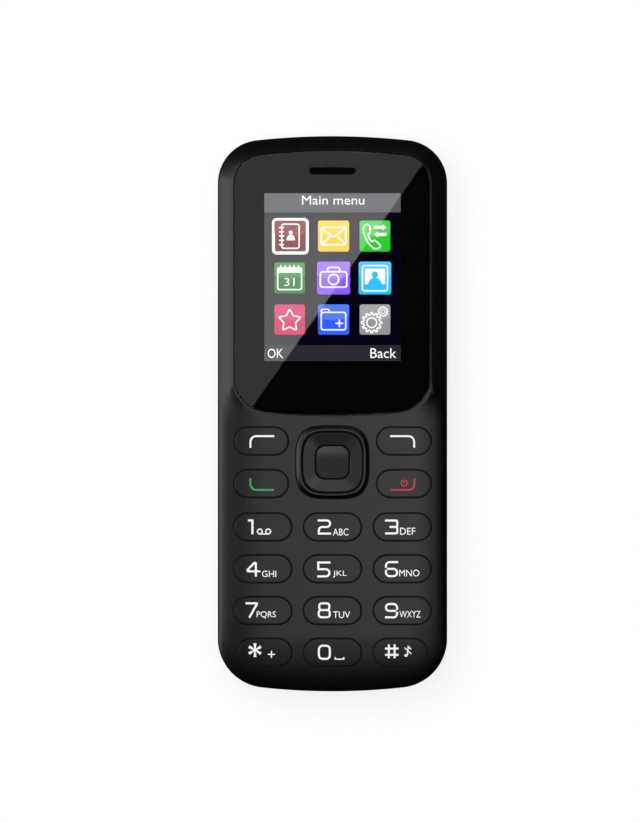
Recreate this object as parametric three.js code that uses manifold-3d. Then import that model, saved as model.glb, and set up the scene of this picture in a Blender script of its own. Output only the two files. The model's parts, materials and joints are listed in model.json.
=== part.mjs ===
// Bar-shaped mobile phone with large keys, lying on its back.
// Millimetres. +X is the phone's right side, +Y its earpiece end, +Z comes out of its front.
// The origin is on the back, under the middle of the phone.

import * as THREE from "three";
import { mergeVertices } from "three/addons/utils/BufferGeometryUtils.js";
import Module from "manifold-3d";

const wasm = await Module();
wasm.setup();

// Clearances
const fit = 0.3; // between pieces that slide, or that a hole goes round
const keyFit = 0.2; // between a key and its hole
const seatGap = 0.1; // between pieces that lie on each other
const filmGap = 0.05; // between the thin layers under the lens
const overrun = 1.0; // how far a cut runs past the face it opens

// Keypad
const keyWidth = 11.9;
const keyHeight = 5.5;
const columnLand = 2.1; // plastic left between two key columns
const rowLand = 2.74; // plastic left between two number rows
const keyProud = 0.35; // how far the key tops stand out of the face
const keyEdge = 0.15; // rounding of the key tops
const keySpine = 0.8; // half width of the level strip along the middle of a key top
const keyFlange = 0.6; // how far a key's hidden flange reaches under the face
const keyFlangeThickness = 0.8;
const flangeGap = 0.15; // above the flange of a key at rest
const pressGap = 0.3; // under the flange of a key at rest, taken up by its travel
const endKeyTrim = 0.8; // how much narrower the two outer keys of the last row are
const sideMargin = 3.2; // from the outer key holes to the sides of the phone
const bottomMargin = 5.26; // from the last row to the lower end
const upperRowInset = 0.25; // upper key rows against the ends of the navigation hole
const navLand = 1.35; // plastic left between the upper keys and the navigation hole
const navRowLand = 2.79; // plastic left between the navigation hole and the number keys

// Navigation key
const navHole = 15.2;
const navGroove = 0.65; // dark groove round the bezel
const bezelWidth = 0.4;
const bezelProud = 0.1;
const bezelFlange = 0.35;
const bezelFlangeThickness = 0.6;
const navGap = 0.5; // between the bezel and the rocking ring
const navRimWidth = 0.1; // flat rim of the rocking ring
const navDish = 0.8; // depth of the ring's four sloping sides
const navSquareness = 3.4; // power of the curve that the square rings follow
const okWidth = 6.8;
const okCorner = 1.8;
const okCrown = 0.35; // height of the curved top of the middle key
const okLevel = 0.2; // corner radius of the level middle of its top
const okSink = 0.1; // how far its top stays below the rim of the ring
const okFlange = 0.4;
const okFlangeThickness = 0.4;
const rockerThickness = 0.5;
const rockerWidth = 1.1;

// Lens and display
const lensLength = 54.9;
const lensLand = 1.96; // plastic left between the lens and the navigation hole
const topMargin = 3.07; // from the lens to the upper end
const sideBezel = 3.4; // plastic beside the lens
const lensThickness = 0.9;
const lensRecess = 0.05;
const lensGap = 0.2;
const inkThickness = 0.12;
const adhesiveThickness = 0.15;
const adhesiveMargin = 0.3;
const lensTopArch = 120;
const lensBottomArch = 140;
const lensTopCorner = 6.2;
const lensBottomCorner = 7.5;
const maskSide = 6.2; // black border from the lens's side to the display
const maskTop = 8.64;
const maskBottom = 11.36;
const panelBorder = 1.7; // display glass beyond the part that lights up
const panelTail = 6.1; // display glass below the part that lights up
const panelTop = 0.5; // display glass above it
const frameWall = 0.8;
const frameFloor = 0.5;
const flexWidth = 14;
const flexThickness = 0.2;
const flexReach = 2.0;

// Earpiece
const earSlotWidth = 9.7;
const earSlotHeight = 1.5;
const earDrop = 4.23; // from the lens's upper edge to the slot's middle
const earMeshMargin = 1.0;
const earMeshThickness = 0.3;
const receiverWidth = 13;
const receiverHeight = 4.9;
const receiverThickness = 2.6;

// Layers from the back to the front
const coverWall = 1.2;
const batteryThickness = 5.3;
const bayRoof = 0.8;
const boardThickness = 0.8;
const boardSink = 0.2; // how far the board stands out of the rear housing
const domeThickness = 0.2;
const matThickness = 0.6;
const padRise = 0.6; // how far the rubber pads stand out of the keypad mat
const padRadius = 2.2;
const faceThickness = 2.0;

// Casing
const endArchTop = 146;
const endArchBottom = 134;
const endCornerTop = 9.0;
const endCornerBottom = 10.2;
const leastCorner = 1.0;
const frontWall = 1.4;
const frontRollHeight = 2.5; // how far the face falls to the upright part of the sides
const displayRollWidth = 3.1; // beside and above the lens the face falls as a steep flank
const displayRollPower = 1.1;
const keypadRollWidth = 10.0; // beside the keys it falls slowly at first
const keypadRollPower = 2.3;
const bottomRollWidth = 14.0;
const flareRise = 4.0; // the flank starts to change this far above the lens's lower edge
const flareSteps = 5;
const backRollWidth = 4.5;
const backRollHeight = 3.2;
const seamGap = 0.15; // between the two halves of the casing
const cavityCorner = 1.2; // how far the casing stays thick behind the falling lower end
const housingWall = 1.2;
const bandWall = 1.65; // side wall outside a screw column
const coverSide = 1.1; // height of the battery cover's side walls above its rounded edge
const topSection = 30.5; // length of the fixed back above the battery cover
const tailBlock = 8.5; // from the lower end to the battery bay
const cardBay = 22.4; // length of the card bay above the battery
const bayRib = 1.0;
const bayRibRise = 4.4;
const railDepth = 0.4;
const railHeight = 0.5;
const railGap = 0.3;
const railDrop = 0.3; // from the top of the cover's side wall to its rail
const railInset = 2.0;
const gripCount = 5;
const gripPitch = 1.8;
const gripWidth = 14;
const gripLine = 0.8;
const gripDepth = 0.3;
const gripInset = 3.0;

// Screws and their bosses
const bossRadius = 1.8;
const columnWall = 0.6;
const spigotDepth = 2.0; // how far a boss reaches into the rear housing
const spigotFloor = 0.3;
const bossRib = 1.2;
const bossCeiling = 0.3;
const screwRadius = 0.7;
const screwHeadRadius = 1.3;
const screwHeadHeight = 0.9;
const screwSeat = 1.9; // housing left between the screw head and the boss
const screwTipGap = 0.3;
const screwThreadGap = 0.1;
const screwInset = 7.0; // from the upper edge of the battery cover
const driveWidth = 0.4;
const driveLength = 1.6;
const driveDepth = 0.4;

// Sockets
const usbWidth = 7.5;
const usbHeight = 2.6;
const usbLength = 5.6;
const usbWall = 0.3;
const usbTongue = 0.6;
const usbTongueSide = 1.4;
const usbInset = 0.3;
const usbGap = 0.25;
const jackX = -11;
const jackWidth = 6.6;
const jackHeight = 5.2;
const jackLength = 12;
const jackCollarRadius = 2.4;
const jackBoreRadius = 1.8;
const jackBoreLength = 10;
const jackSetback = 1.8;
const jackInset = 0.3;

// Pieces inside the rear housing
const microphoneX = 8;
const microphoneRadius = 1.6;
const microphoneThickness = 1.4;
const microphoneInset = 5.15;
const microphoneHole = 0.5;
const cameraDrop = 12.5; // from the upper end to the camera's middle
const cameraWidth = 8;
const cameraHeight = 5.0;
const cameraBarrelRadius = 2.5;
const windowRadius = 3.8;
const windowThickness = 0.7;
const windowRecess = 0.15;
const windowLedge = 0.7;
const speakerX = 12.2;
const speakerWallGap = 0.5; // from the wall at the fixed back's lower edge to the loudspeaker
const speakerWidth = 11;
const speakerLength = 15;
const speakerThickness = 3.6;
const speakerCorner = 2.5;
const speakerSlots = 5;
const speakerSlotPitch = 2.2;
const speakerSlotWidth = 1.0;
const speakerSlotLength = 7;
const motorX = -14.5;
const motorWallGap = 2.7; // from the same wall to the path of the turning weight
const motorRadius = 2.0;
const motorLength = 7;
const motorRise = 2.8; // from the housing's inner floor to the motor's axis
const shaftRadius = 0.4;
const shaftGap = 0.25;
const weightRadius = 2.3;
const weightLength = 3.0;
const weightGap = 0.4;
const cradleWidth = 2.4;
const antennaSide = 4.25; // from the side of the phone to the antenna
const antennaWidth = 16;
const antennaHeight = 4.4;
const antennaThickness = 0.3;
const antennaSetback = 4.2;
const antennaTail = 3.0;

// Pieces on the board
const boardEnd = 4.5; // from either end of the phone to the board
const boardCorner = 3.0;
const shieldWidth = 26;
const shieldLength = 30;
const shieldDrop = 4.05; // from the display frame's upper edge to the shield
const shieldHeight = 1.2;
const shieldCorner = 1.0;
const simWidth = 15;
const simLength = 15;
const simThickness = 1.3;
const simX = -8.6;
const memoryWidth = 12;
const memoryLength = 14;
const memoryX = 8.8;
const cardSlot = 0.7;
const cardWall = 0.3;
const cardInset = 2.4;
const contactsWidth = 9;
const contactsDepth = 2.0;
const contactsHeight = 4.6;
const contactTip = 0.9;
const contactTips = 3;
const contactPitch = 2.8;
const contactPad = 1.8; // side of the battery's own square contacts
const contactPadDepth = 0.2;

// Facets
const cornerSteps = 6;
const archSteps = 4;
const rollSteps = 4;
const keyEndSteps = 7;
const navSteps = 32;
const smallCornerSteps = 2;
const roundSteps = 16;
const weldDistance = 1e-4;

// Layout across and along the phone
const keyHole = keyWidth + 2 * keyFit;
const keyHoleHeight = keyHeight + 2 * keyFit;
const halfWidth = 1.5 * keyHole + columnLand + sideMargin;
const rows = 4;
const numberBlock = rows * keyHoleHeight + (rows - 1) * rowLand;
const bodyLength =
  topMargin + lensLength + lensLand + navHole + navRowLand + numberBlock + bottomMargin;
const topY = bodyLength / 2;
const bottomY = -topY;
const lensTopY = topY - topMargin;
const lensBottomY = lensTopY - lensLength;
const lensHalf = halfWidth - sideBezel;
const navTopY = lensBottomY - lensLand;
const navY = navTopY - navHole / 2;
const navBottomY = navTopY - navHole;
const columnPitch = keyHole + columnLand;
const rowPitch = keyHoleHeight + rowLand;
const firstRowY = navBottomY - navRowLand - keyHoleHeight / 2;
const rowY = (row) => firstRowY - row * rowPitch;
const lastRowY = rowY(rows - 1);
const keypadEdgeX = columnPitch + keyHole / 2;
const upperKeyInner = navHole / 2 + navLand;
const upperKeyWidth = keypadEdgeX - upperKeyInner - 2 * keyFit;
const upperKeyX = (keypadEdgeX + upperKeyInner) / 2;
const softRowY = navTopY - upperRowInset - keyHoleHeight / 2;
const callRowY = navBottomY + upperRowInset + keyHoleHeight / 2;
const endKeyWidth = keyWidth - endKeyTrim;
const endKeyX = columnPitch - endKeyTrim / 2;

// Heights from the back
const batteryZ = coverWall + fit;
const bayRoofZ = batteryZ + batteryThickness + fit;
const bayTopZ = bayRoofZ + bayRoof;
const boardZ = bayTopZ + seatGap;
const boardTopZ = boardZ + boardThickness;
const underBoardZ = boardZ - seatGap;
const seamZ = boardTopZ - boardSink;
const domeZ = boardTopZ + seatGap;
const matZ = domeZ + domeThickness + seatGap;
const matTopZ = matZ + matThickness;
const padTopZ = matTopZ + padRise;
const flangeZ = padTopZ + pressGap;
const roofZ = flangeZ + keyFlangeThickness + flangeGap;
const faceZ = roofZ + faceThickness;
const keyTopZ = faceZ + keyProud;
const lensZ = faceZ - lensRecess - lensThickness;
const inkZ = lensZ - filmGap - inkThickness;
const adhesiveZ = inkZ - filmGap - adhesiveThickness;
const ledgeZ = adhesiveZ - filmGap;
const coverTopZ = backRollHeight + coverSide;
const bandZ = coverTopZ + fit;
const coverEdgeY = topY - topSection;
const flareTopY = lensBottomY + flareRise;
const flareBottomY = navY;

// Screw columns, and the bay between them
const pocketRadius = bossRadius + fit;
const screwX = halfWidth - bandWall - pocketRadius;
const bossZ = seamZ - spigotDepth;
const bossTopZ = flangeZ - pressGap - bossCeiling;
const screwYs = [coverEdgeY - screwInset, (rowY(1) + rowY(2)) / 2];
const bayHalf = screwX - pocketRadius - columnWall;
const bayBottomY = bottomY + tailBlock;
const bayTopY = coverEdgeY - cardBay;
const boardHalf = screwX - bossRadius - fit;

const silicone = material(0x2b2b2d, 0.8, 0);
const casingPlastic = material(0x2c2c2d, 0.55, 0);
const coverPlastic = material(0x29292b, 0.6, 0);
const keyPlastic = material(0x2d2d2e, 0.5, 0);
const glossPlastic = material(0x1b1b1c, 0.2, 0);
const clearPlastic = material(0x202022, 0.05, 0);
const ink = material(0x050505, 0.4, 0);
const darkGlass = material(0x101014, 0.15, 0);
const tinned = material(0xb8babd, 0.35, 1);
const steel = material(0x9a9ca0, 0.35, 1);
const gold = material(0xd0a850, 0.3, 1);
const boardGreen = material(0x1f5a34, 0.5, 0);
const polymer = material(0xc9a25a, 0.5, 0);
const batteryWrap = material(0x9fa3a8, 0.45, 0);
const innerPlastic = material(0x3a3a3e, 0.6, 0);
const foam = material(0x161616, 0.95, 0);

function material(color, roughness, metalness) {
  return new THREE.MeshStandardMaterial({ color, roughness, metalness });
}

// A three.js geometry as a solid that can be joined and cut.
function solidOf(geometry) {
  const bare = geometry.clone();
  bare.deleteAttribute("normal");
  bare.deleteAttribute("uv");
  const merged = mergeVertices(bare, weldDistance);
  const vertProperties = merged.attributes.position.array;
  const triVerts = new Uint32Array(merged.index.array);
  return new wasm.Manifold(new wasm.Mesh({ numProp: 3, vertProperties, triVerts }));
}

// A solid as a named mesh in the group.
function addPiece(name, solid, look) {
  const data = solid.getMesh();
  const geometry = new THREE.BufferGeometry();
  geometry.setAttribute("position", new THREE.BufferAttribute(data.vertProperties, 3));
  geometry.setIndex(new THREE.BufferAttribute(data.triVerts, 1));
  geometry.computeVertexNormals();
  const mesh = new THREE.Mesh(geometry, look);
  mesh.name = name;
  phone.add(mesh);
}

// A solid through a stack of outlines, each with the same number of points.
// A ring lies level at its z, or each point has a height of its own in its heights.
function loft(rings) {
  const count = rings[0].points.length;
  const positions = [];
  const index = [];
  for (const ring of rings) {
    ring.points.forEach((point, i) => {
      positions.push(point.x, point.y, ring.heights ? ring.heights[i] : ring.z);
    });
  }
  for (let level = 0; level + 1 < rings.length; level++) {
    for (let i = 0; i < count; i++) {
      const a = level * count + i;
      const b = level * count + ((i + 1) % count);
      index.push(a, b, b + count, a, b + count, a + count);
    }
  }
  const last = rings.length - 1;
  for (const [a, b, c] of THREE.ShapeUtils.triangulateShape(rings[0].points, [])) {
    index.push(c, b, a);
  }
  for (const face of THREE.ShapeUtils.triangulateShape(rings[last].points, [])) {
    for (const corner of face) index.push(last * count + corner);
  }
  const geometry = new THREE.BufferGeometry();
  geometry.setAttribute("position", new THREE.Float32BufferAttribute(positions, 3));
  geometry.setIndex(index);
  return solidOf(geometry);
}

// An outline carried straight up from one height to another.
function prism(points, low, high) {
  return loft([
    { points, z: low },
    { points, z: high },
  ]);
}

// A box from its lowest to its highest corner.
function block(lowX, highX, lowY, highY, lowZ, highZ) {
  const geometry = new THREE.BoxGeometry(highX - lowX, highY - lowY, highZ - lowZ);
  geometry.translate((lowX + highX) / 2, (lowY + highY) / 2, (lowZ + highZ) / 2);
  return solidOf(geometry);
}

// A round bar along z.
function barZ(radius, x, y, low, high) {
  const geometry = new THREE.CylinderGeometry(radius, radius, high - low, roundSteps);
  geometry.rotateX(Math.PI / 2);
  geometry.translate(x, y, (low + high) / 2);
  return solidOf(geometry);
}

// A round bar along y.
function barY(radius, x, z, low, high) {
  const geometry = new THREE.CylinderGeometry(radius, radius, high - low, roundSteps);
  geometry.translate(x, (low + high) / 2, z);
  return solidOf(geometry);
}

// A round bar along x.
function barX(radius, y, z, low, high) {
  const geometry = new THREE.CylinderGeometry(radius, radius, high - low, roundSteps);
  geometry.rotateZ(Math.PI / 2);
  geometry.translate((low + high) / 2, y, z);
  return solidOf(geometry);
}

// Points of an arc about a centre.
function arc(x, y, radius, from, to, steps) {
  const points = [];
  for (let i = 0; i <= steps; i++) {
    const angle = from + ((to - from) * i) / steps;
    points.push(new THREE.Vector2(x + radius * Math.cos(angle), y + radius * Math.sin(angle)));
  }
  return points;
}

// One arched end with round corners, from the right side over the tip to the left side.
function archedEnd(half, tip, arch, corner) {
  const centreY = tip - arch;
  const cornerX = half - corner;
  const cornerY = centreY + Math.sqrt((arch - corner) ** 2 - cornerX ** 2);
  const turn = Math.atan2(cornerY - centreY, cornerX);
  return [
    ...arc(cornerX, cornerY, corner, 0, turn, cornerSteps),
    ...arc(0, centreY, arch, turn, Math.PI - turn, archSteps).slice(1, -1),
    ...arc(-cornerX, cornerY, corner, Math.PI - turn, Math.PI, cornerSteps),
  ];
}

// Closed outline with straight sides and two arched ends, drawn in by the given insets.
// Stations are heights along y, from the lowest, at which the straight sides get a point.
function archedOutline(shape, side, top, bottom, stations = []) {
  const half = shape.halfWidth - side;
  const topCorner = Math.max(leastCorner, shape.topCorner - side);
  const bottomCorner = Math.max(leastCorner, shape.bottomCorner - side);
  const upper = archedEnd(half, shape.top - top, shape.topArch - top, topCorner);
  const lower = archedEnd(half, -shape.bottom - bottom, shape.bottomArch - bottom, bottomCorner);
  return [
    ...upper,
    ...stations.map((y) => new THREE.Vector2(-half, y)).reverse(),
    ...lower.map((point) => new THREE.Vector2(-point.x, -point.y)),
    ...stations.map((y) => new THREE.Vector2(half, y)),
  ];
}

// Closed outline with half-round ends, such as a key's.
function stadium(width, height, x, y, grow) {
  const radius = height / 2 + grow;
  const reach = (width - height) / 2;
  return [
    ...arc(x + reach, y, radius, -Math.PI / 2, Math.PI / 2, keyEndSteps),
    ...arc(x - reach, y, radius, Math.PI / 2, 1.5 * Math.PI, keyEndSteps),
  ];
}

// Rectangle with round corners.
function roundedBox(width, height, corner, x, y) {
  const reachX = width / 2 - corner;
  const reachY = height / 2 - corner;
  const turn = Math.PI / 2;
  return [
    ...arc(x + reachX, y + reachY, corner, 0, turn, smallCornerSteps),
    ...arc(x - reachX, y + reachY, corner, turn, 2 * turn, smallCornerSteps),
    ...arc(x - reachX, y - reachY, corner, 2 * turn, 3 * turn, smallCornerSteps),
    ...arc(x + reachX, y - reachY, corner, 3 * turn, 4 * turn, smallCornerSteps),
  ];
}

// Square with soft sides and corners, about the middle of the navigation key.
function softSquare(half) {
  const points = [];
  for (let i = 0; i < navSteps; i++) {
    const angle = (2 * Math.PI * (i + 0.5)) / navSteps;
    const cos = Math.cos(angle);
    const sin = Math.sin(angle);
    const sum = Math.abs(cos) ** navSquareness + Math.abs(sin) ** navSquareness;
    const radius = half / sum ** (1 / navSquareness);
    points.push(new THREE.Vector2(radius * cos, navY + radius * sin));
  }
  return points;
}

const bodyShape = {
  halfWidth,
  top: topY,
  bottom: bottomY,
  topArch: endArchTop,
  bottomArch: endArchBottom,
  topCorner: endCornerTop,
  bottomCorner: endCornerBottom,
};

const lensShape = {
  halfWidth: lensHalf,
  top: lensTopY,
  bottom: lensBottomY,
  topArch: lensTopArch,
  bottomArch: lensBottomArch,
  topCorner: lensTopCorner,
  bottomCorner: lensBottomCorner,
};

const bodyOutline = (inset) => archedOutline(bodyShape, inset, inset, inset);
const lensOutline = (inset) => archedOutline(lensShape, inset, inset, inset);

// The rounded back of the phone at a depth under its surface, carried up to a height.
function backForm(depth, high) {
  const rings = [];
  for (let i = 0; i <= rollSteps; i++) {
    const angle = ((Math.PI / 2) * i) / rollSteps;
    const inset = backRollWidth - (backRollWidth - depth) * Math.sin(angle);
    const z = backRollHeight - (backRollHeight - depth) * Math.cos(angle);
    rings.push({ points: bodyOutline(inset), z });
  }
  rings.push({ points: bodyOutline(depth), z: high });
  return loft(rings);
}

// How far a height along y has left the display's steep flank for the keypad's soft one, 0 to 1.
const flareShare = (y) => THREE.MathUtils.smoothstep(flareTopY - y, 0, flareTopY - flareBottomY);

const rollWidth = (y) => THREE.MathUtils.lerp(displayRollWidth, keypadRollWidth, flareShare(y));
const rollPower = (y) => THREE.MathUtils.lerp(displayRollPower, keypadRollPower, flareShare(y));

// How far the face lies under its highest level at a place beside or among the keys.
function faceFall(x, y) {
  const side = THREE.MathUtils.clamp(1 - (halfWidth - Math.abs(x)) / rollWidth(y), 0, 1);
  const end = THREE.MathUtils.clamp(1 - (y - bottomY) / bottomRollWidth, 0, 1);
  const reach = Math.min(1, Math.hypot(side, end));
  const power = rollPower(y);
  return frontRollHeight * (1 - (1 - reach ** power) ** (1 / power));
}

// The front of the phone: from its outline the face rises to a level field, steeply beside the
// lens and slowly beside and below the keys.
function frontForm(low) {
  const stations = [];
  for (let i = 0; i <= flareSteps; i++) {
    stations.push(THREE.MathUtils.lerp(flareBottomY, flareTopY, i / flareSteps));
  }
  const outer = archedOutline(bodyShape, 0, 0, 0, stations);
  const level = displayRollWidth;
  const field = archedOutline(bodyShape, level, level, bottomRollWidth, stations);
  for (const point of field) {
    point.x *= (halfWidth - rollWidth(point.y)) / (halfWidth - displayRollWidth);
  }
  const rings = [{ points: outer, z: low }];
  for (let i = 0; i <= rollSteps; i++) {
    const angle = ((Math.PI / 2) * i) / rollSteps;
    const points = [];
    const heights = [];
    outer.forEach((point, place) => {
      const power = 2 / rollPower(point.y);
      const inward = 1 - Math.max(0, Math.cos(angle)) ** power;
      points.push(point.clone().lerp(field[place], inward));
      heights.push(faceZ - frontRollHeight * (1 - Math.sin(angle) ** power));
    });
    rings.push({ points, heights });
  }
  return loft(rings);
}

// The hollow of the front cover: its roof is level, and stays clear of the falling lower end.
function frontHollow() {
  const wide = bodyOutline(frontWall);
  const roof = archedOutline(bodyShape, frontWall, frontWall, frontWall + cavityCorner);
  return loft([
    { points: wide, z: seamZ - overrun },
    { points: wide, z: roofZ - keyFlangeThickness },
    { points: roof, z: roofZ },
  ]);
}

// Every key with half-round ends: its name, place and width.
function roundKeys() {
  const keys = [
    { name: "soft_key_left", x: -upperKeyX, y: softRowY, width: upperKeyWidth },
    { name: "soft_key_right", x: upperKeyX, y: softRowY, width: upperKeyWidth },
    { name: "call_key", x: -upperKeyX, y: callRowY, width: upperKeyWidth },
    { name: "end_key", x: upperKeyX, y: callRowY, width: upperKeyWidth },
    { name: "key_star", x: -endKeyX, y: lastRowY, width: endKeyWidth },
    { name: "key_0", x: 0, y: lastRowY, width: keyWidth },
    { name: "key_hash", x: endKeyX, y: lastRowY, width: endKeyWidth },
  ];
  for (let digit = 1; digit <= 9; digit++) {
    const column = ((digit - 1) % 3) - 1;
    const row = Math.floor((digit - 1) / 3);
    keys.push({ name: `key_${digit}`, x: column * columnPitch, y: rowY(row), width: keyWidth });
  }
  return keys;
}

const keys = roundKeys();

// Display sizes, worked out from the lens
const screenHalf = lensHalf - maskSide;
const screenTopY = lensTopY - maskTop;
const screenBottomY = lensBottomY + maskBottom;
const frameHalf = screenHalf + panelBorder + fit + frameWall;
const frameTopY = screenTopY + panelTop + fit + frameWall;
const frameBottomY = screenBottomY - panelTail - fit - frameWall;
const shieldZ = boardTopZ + seatGap;
const frameZ = shieldZ + shieldHeight + seatGap;
const panelZ = frameZ + frameFloor + seatGap;
const panelTopZ = inkZ - seatGap;
const earY = lensTopY - earDrop;
const earMeshWidth = earSlotWidth + 2 * earMeshMargin;
const earMeshHeight = earSlotHeight + 2 * earMeshMargin;
const receiverZ = inkZ - seatGap - earMeshThickness - seatGap - receiverThickness;

// The opening in the ledge that the display frame comes up through.
function displayWell(low, high) {
  const reach = frameHalf + fit;
  return block(-reach, reach, frameBottomY - fit, frameTopY + fit, low, high);
}

// The opening over the earpiece, wide enough for its mesh.
function earWell(low, high) {
  return prism(stadium(earMeshWidth, earMeshHeight, 0, earY, fit), low, high);
}

// A boss on the front cover with its rib to the side wall and a blind hole for the screw.
function screwBoss(side, y) {
  const x = side * screwX;
  const wallX = side * (halfWidth - frontWall / 2);
  const ribLow = seamZ + seamGap;
  const rib = block(
    Math.min(x, wallX),
    Math.max(x, wallX),
    y - bossRib / 2,
    y + bossRib / 2,
    ribLow,
    bossTopZ,
  );
  return barZ(bossRadius, x, y, bossZ, bossTopZ).add(rib);
}

function screwHole(side, y) {
  const radius = screwRadius + screwThreadGap;
  return barZ(radius, side * screwX, y, bossZ - overrun, bossTopZ - screwTipGap);
}

function frontCover() {
  let cover = frontForm(seamZ + seamGap).subtract(frontHollow());
  for (const side of [-1, 1]) {
    for (const y of screwYs) cover = cover.add(screwBoss(side, y)).subtract(screwHole(side, y));
  }
  const outside = faceZ + overrun;
  cover = cover.subtract(prism(lensOutline(-lensGap), ledgeZ, outside));
  cover = cover.subtract(displayWell(roofZ - overrun, outside));
  cover = cover.subtract(earWell(roofZ - overrun, outside));
  for (const key of keys) {
    const hole = stadium(key.width, keyHeight, key.x, key.y, keyFit);
    cover = cover.subtract(prism(hole, roofZ - fit, outside));
  }
  return cover.subtract(prism(softSquare(navHole / 2), roofZ - fit, outside));
}

// A key: hidden flange, straight sides, and a top with a softened edge that follows the face.
function roundKey(key) {
  const outline = (grow) => stadium(key.width, keyHeight, key.x, key.y, grow);
  const level = (grow, z) => ({ points: outline(grow), z });
  const top = (inset, drop) => {
    const points = outline(-inset);
    return { points, heights: points.map((point) => keyTopZ - drop - faceFall(point.x, point.y)) };
  };
  const spread = keyFit + keyFlange;
  const soft = keyEdge * (1 - Math.SQRT1_2);
  return loft([
    level(spread, flangeZ),
    level(spread, flangeZ + keyFlangeThickness),
    level(0, flangeZ + keyFlangeThickness),
    top(0, keyEdge),
    top(soft, soft),
    top(keyEdge, 0),
    top(keyHeight / 2 - keySpine, 0),
  ]);
}

// Navigation key sizes, from the hole inwards
const bezelHalf = navHole / 2 - navGroove;
const ringHalf = bezelHalf - bezelWidth - navGap;
const ringHoleHalf = okWidth / 2 + fit;
const rockerZ = matTopZ + fit;
const ringZ = rockerZ + rockerThickness + fit;
const okZ = ringZ - fit - okFlangeThickness;
const okTopZ = faceZ - okSink;
const rockerInnerHalf = okWidth / 2 + fit + okFlange + fit;

function navBezel() {
  const flangeTop = roofZ - seatGap;
  const flange = prism(
    softSquare(navHole / 2 + bezelFlange),
    flangeTop - bezelFlangeThickness,
    flangeTop,
  );
  const wall = prism(softSquare(bezelHalf), flangeTop - bezelFlangeThickness, faceZ + bezelProud);
  const hole = prism(softSquare(bezelHalf - bezelWidth), ringZ - overrun, faceZ + overrun);
  return flange.add(wall).subtract(hole);
}

// The four sloping sides of the rocking ring, as the solid that they bound.
function navDishForm() {
  const wide = ringHalf - navRimWidth;
  const square = (half) => roundedBox(2 * half, 2 * half, okCorner, 0, navY);
  const slope = navDish / (wide - ringHoleHalf);
  const pyramid = loft([
    { points: square(ringHoleHalf - fit), z: faceZ - navDish - slope * fit },
    { points: square(wide + overrun), z: faceZ + slope * overrun },
  ]);
  return pyramid.intersect(prism(softSquare(wide), ringZ, faceZ + overrun));
}

function navRing() {
  const hole = roundedBox(2 * ringHoleHalf, 2 * ringHoleHalf, okCorner + fit, 0, navY);
  return prism(softSquare(ringHalf), ringZ, faceZ)
    .subtract(navDishForm())
    .subtract(prism(hole, ringZ - overrun, faceZ + overrun));
}

// The hidden link that the ring rocks on.
function navRocker() {
  const outer = 2 * (rockerInnerHalf + rockerWidth);
  const inner = 2 * rockerInnerHalf;
  const corner = okCorner + fit + okFlange + fit;
  const plate = prism(
    roundedBox(outer, outer, corner + rockerWidth, 0, navY),
    rockerZ,
    rockerZ + rockerThickness,
  );
  const hole = roundedBox(inner, inner, corner, 0, navY);
  return plate.subtract(prism(hole, rockerZ - overrun, rockerZ + overrun));
}

function okKey() {
  const ring = (grow, z) => {
    const width = okWidth + 2 * grow;
    return { points: roundedBox(width, width, okCorner + grow, 0, navY), z };
  };
  const spread = fit + okFlange;
  const shoulder = okTopZ - okCrown;
  return loft([
    ring(spread, okZ),
    ring(spread, okZ + okFlangeThickness),
    ring(0, okZ + okFlangeThickness),
    ring(0, shoulder),
    ring(-okCrown / 2, okTopZ - okCrown / 2),
    ring(-okCorner / 2, okTopZ - okCrown / 4),
    ring(okLevel - okCorner, okTopZ),
  ]);
}

function keypadMat() {
  const matTopY = navTopY;
  const matBottomY = lastRowY - keyHoleHeight / 2;
  let mat = block(-boardHalf, boardHalf, matBottomY, matTopY, matZ, matTopZ);
  for (const key of keys) {
    mat = mat.add(barZ(padRadius, key.x, key.y, matZ + matThickness / 2, padTopZ));
  }
  const middlePad = barZ(padRadius, 0, navY, matZ + matThickness / 2, okZ - pressGap);
  return mat.add(middlePad);
}

function domeSheet() {
  const top = navTopY;
  const bottom = lastRowY - keyHoleHeight / 2;
  const outline = roundedBox(2 * boardHalf - fit, top - bottom, boardCorner, 0, (top + bottom) / 2);
  return prism(outline, domeZ, domeZ + domeThickness);
}

function displayLens() {
  const slot = stadium(earSlotWidth, earSlotHeight, 0, earY, 0);
  const blank = prism(lensOutline(0), lensZ, lensZ + lensThickness);
  return blank.subtract(prism(slot, lensZ - overrun, faceZ + overrun));
}

// The black printed border, open over the display and the earpiece.
function inkMask() {
  const slot = stadium(earSlotWidth, earSlotHeight, 0, earY, 0);
  const low = inkZ - overrun;
  const high = faceZ + overrun;
  return prism(lensOutline(adhesiveMargin), inkZ, inkZ + inkThickness)
    .subtract(block(-screenHalf, screenHalf, screenBottomY, screenTopY, low, high))
    .subtract(prism(slot, low, high));
}

function lensAdhesive() {
  return prism(lensOutline(adhesiveMargin), adhesiveZ, adhesiveZ + adhesiveThickness)
    .subtract(displayWell(adhesiveZ - overrun, faceZ))
    .subtract(earWell(adhesiveZ - overrun, faceZ));
}

function earpieceMesh() {
  const top = inkZ - seatGap;
  return prism(stadium(earMeshWidth, earMeshHeight, 0, earY, 0), top - earMeshThickness, top);
}

function earpieceSpeaker() {
  const high = receiverZ + receiverThickness;
  const low = receiverZ;
  const can = prism(stadium(receiverWidth, receiverHeight, 0, earY, 0), low, roofZ - seatGap);
  return can.add(prism(stadium(earMeshWidth, earMeshHeight, 0, earY, 0), low, high));
}

function lcdFrame() {
  const inner = frameHalf - frameWall;
  const high = ledgeZ;
  return block(-frameHalf, frameHalf, frameBottomY, frameTopY, frameZ, high).subtract(
    block(
      -inner,
      inner,
      frameBottomY + frameWall,
      frameTopY - frameWall,
      frameZ + frameFloor,
      high + overrun,
    ),
  );
}

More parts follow.
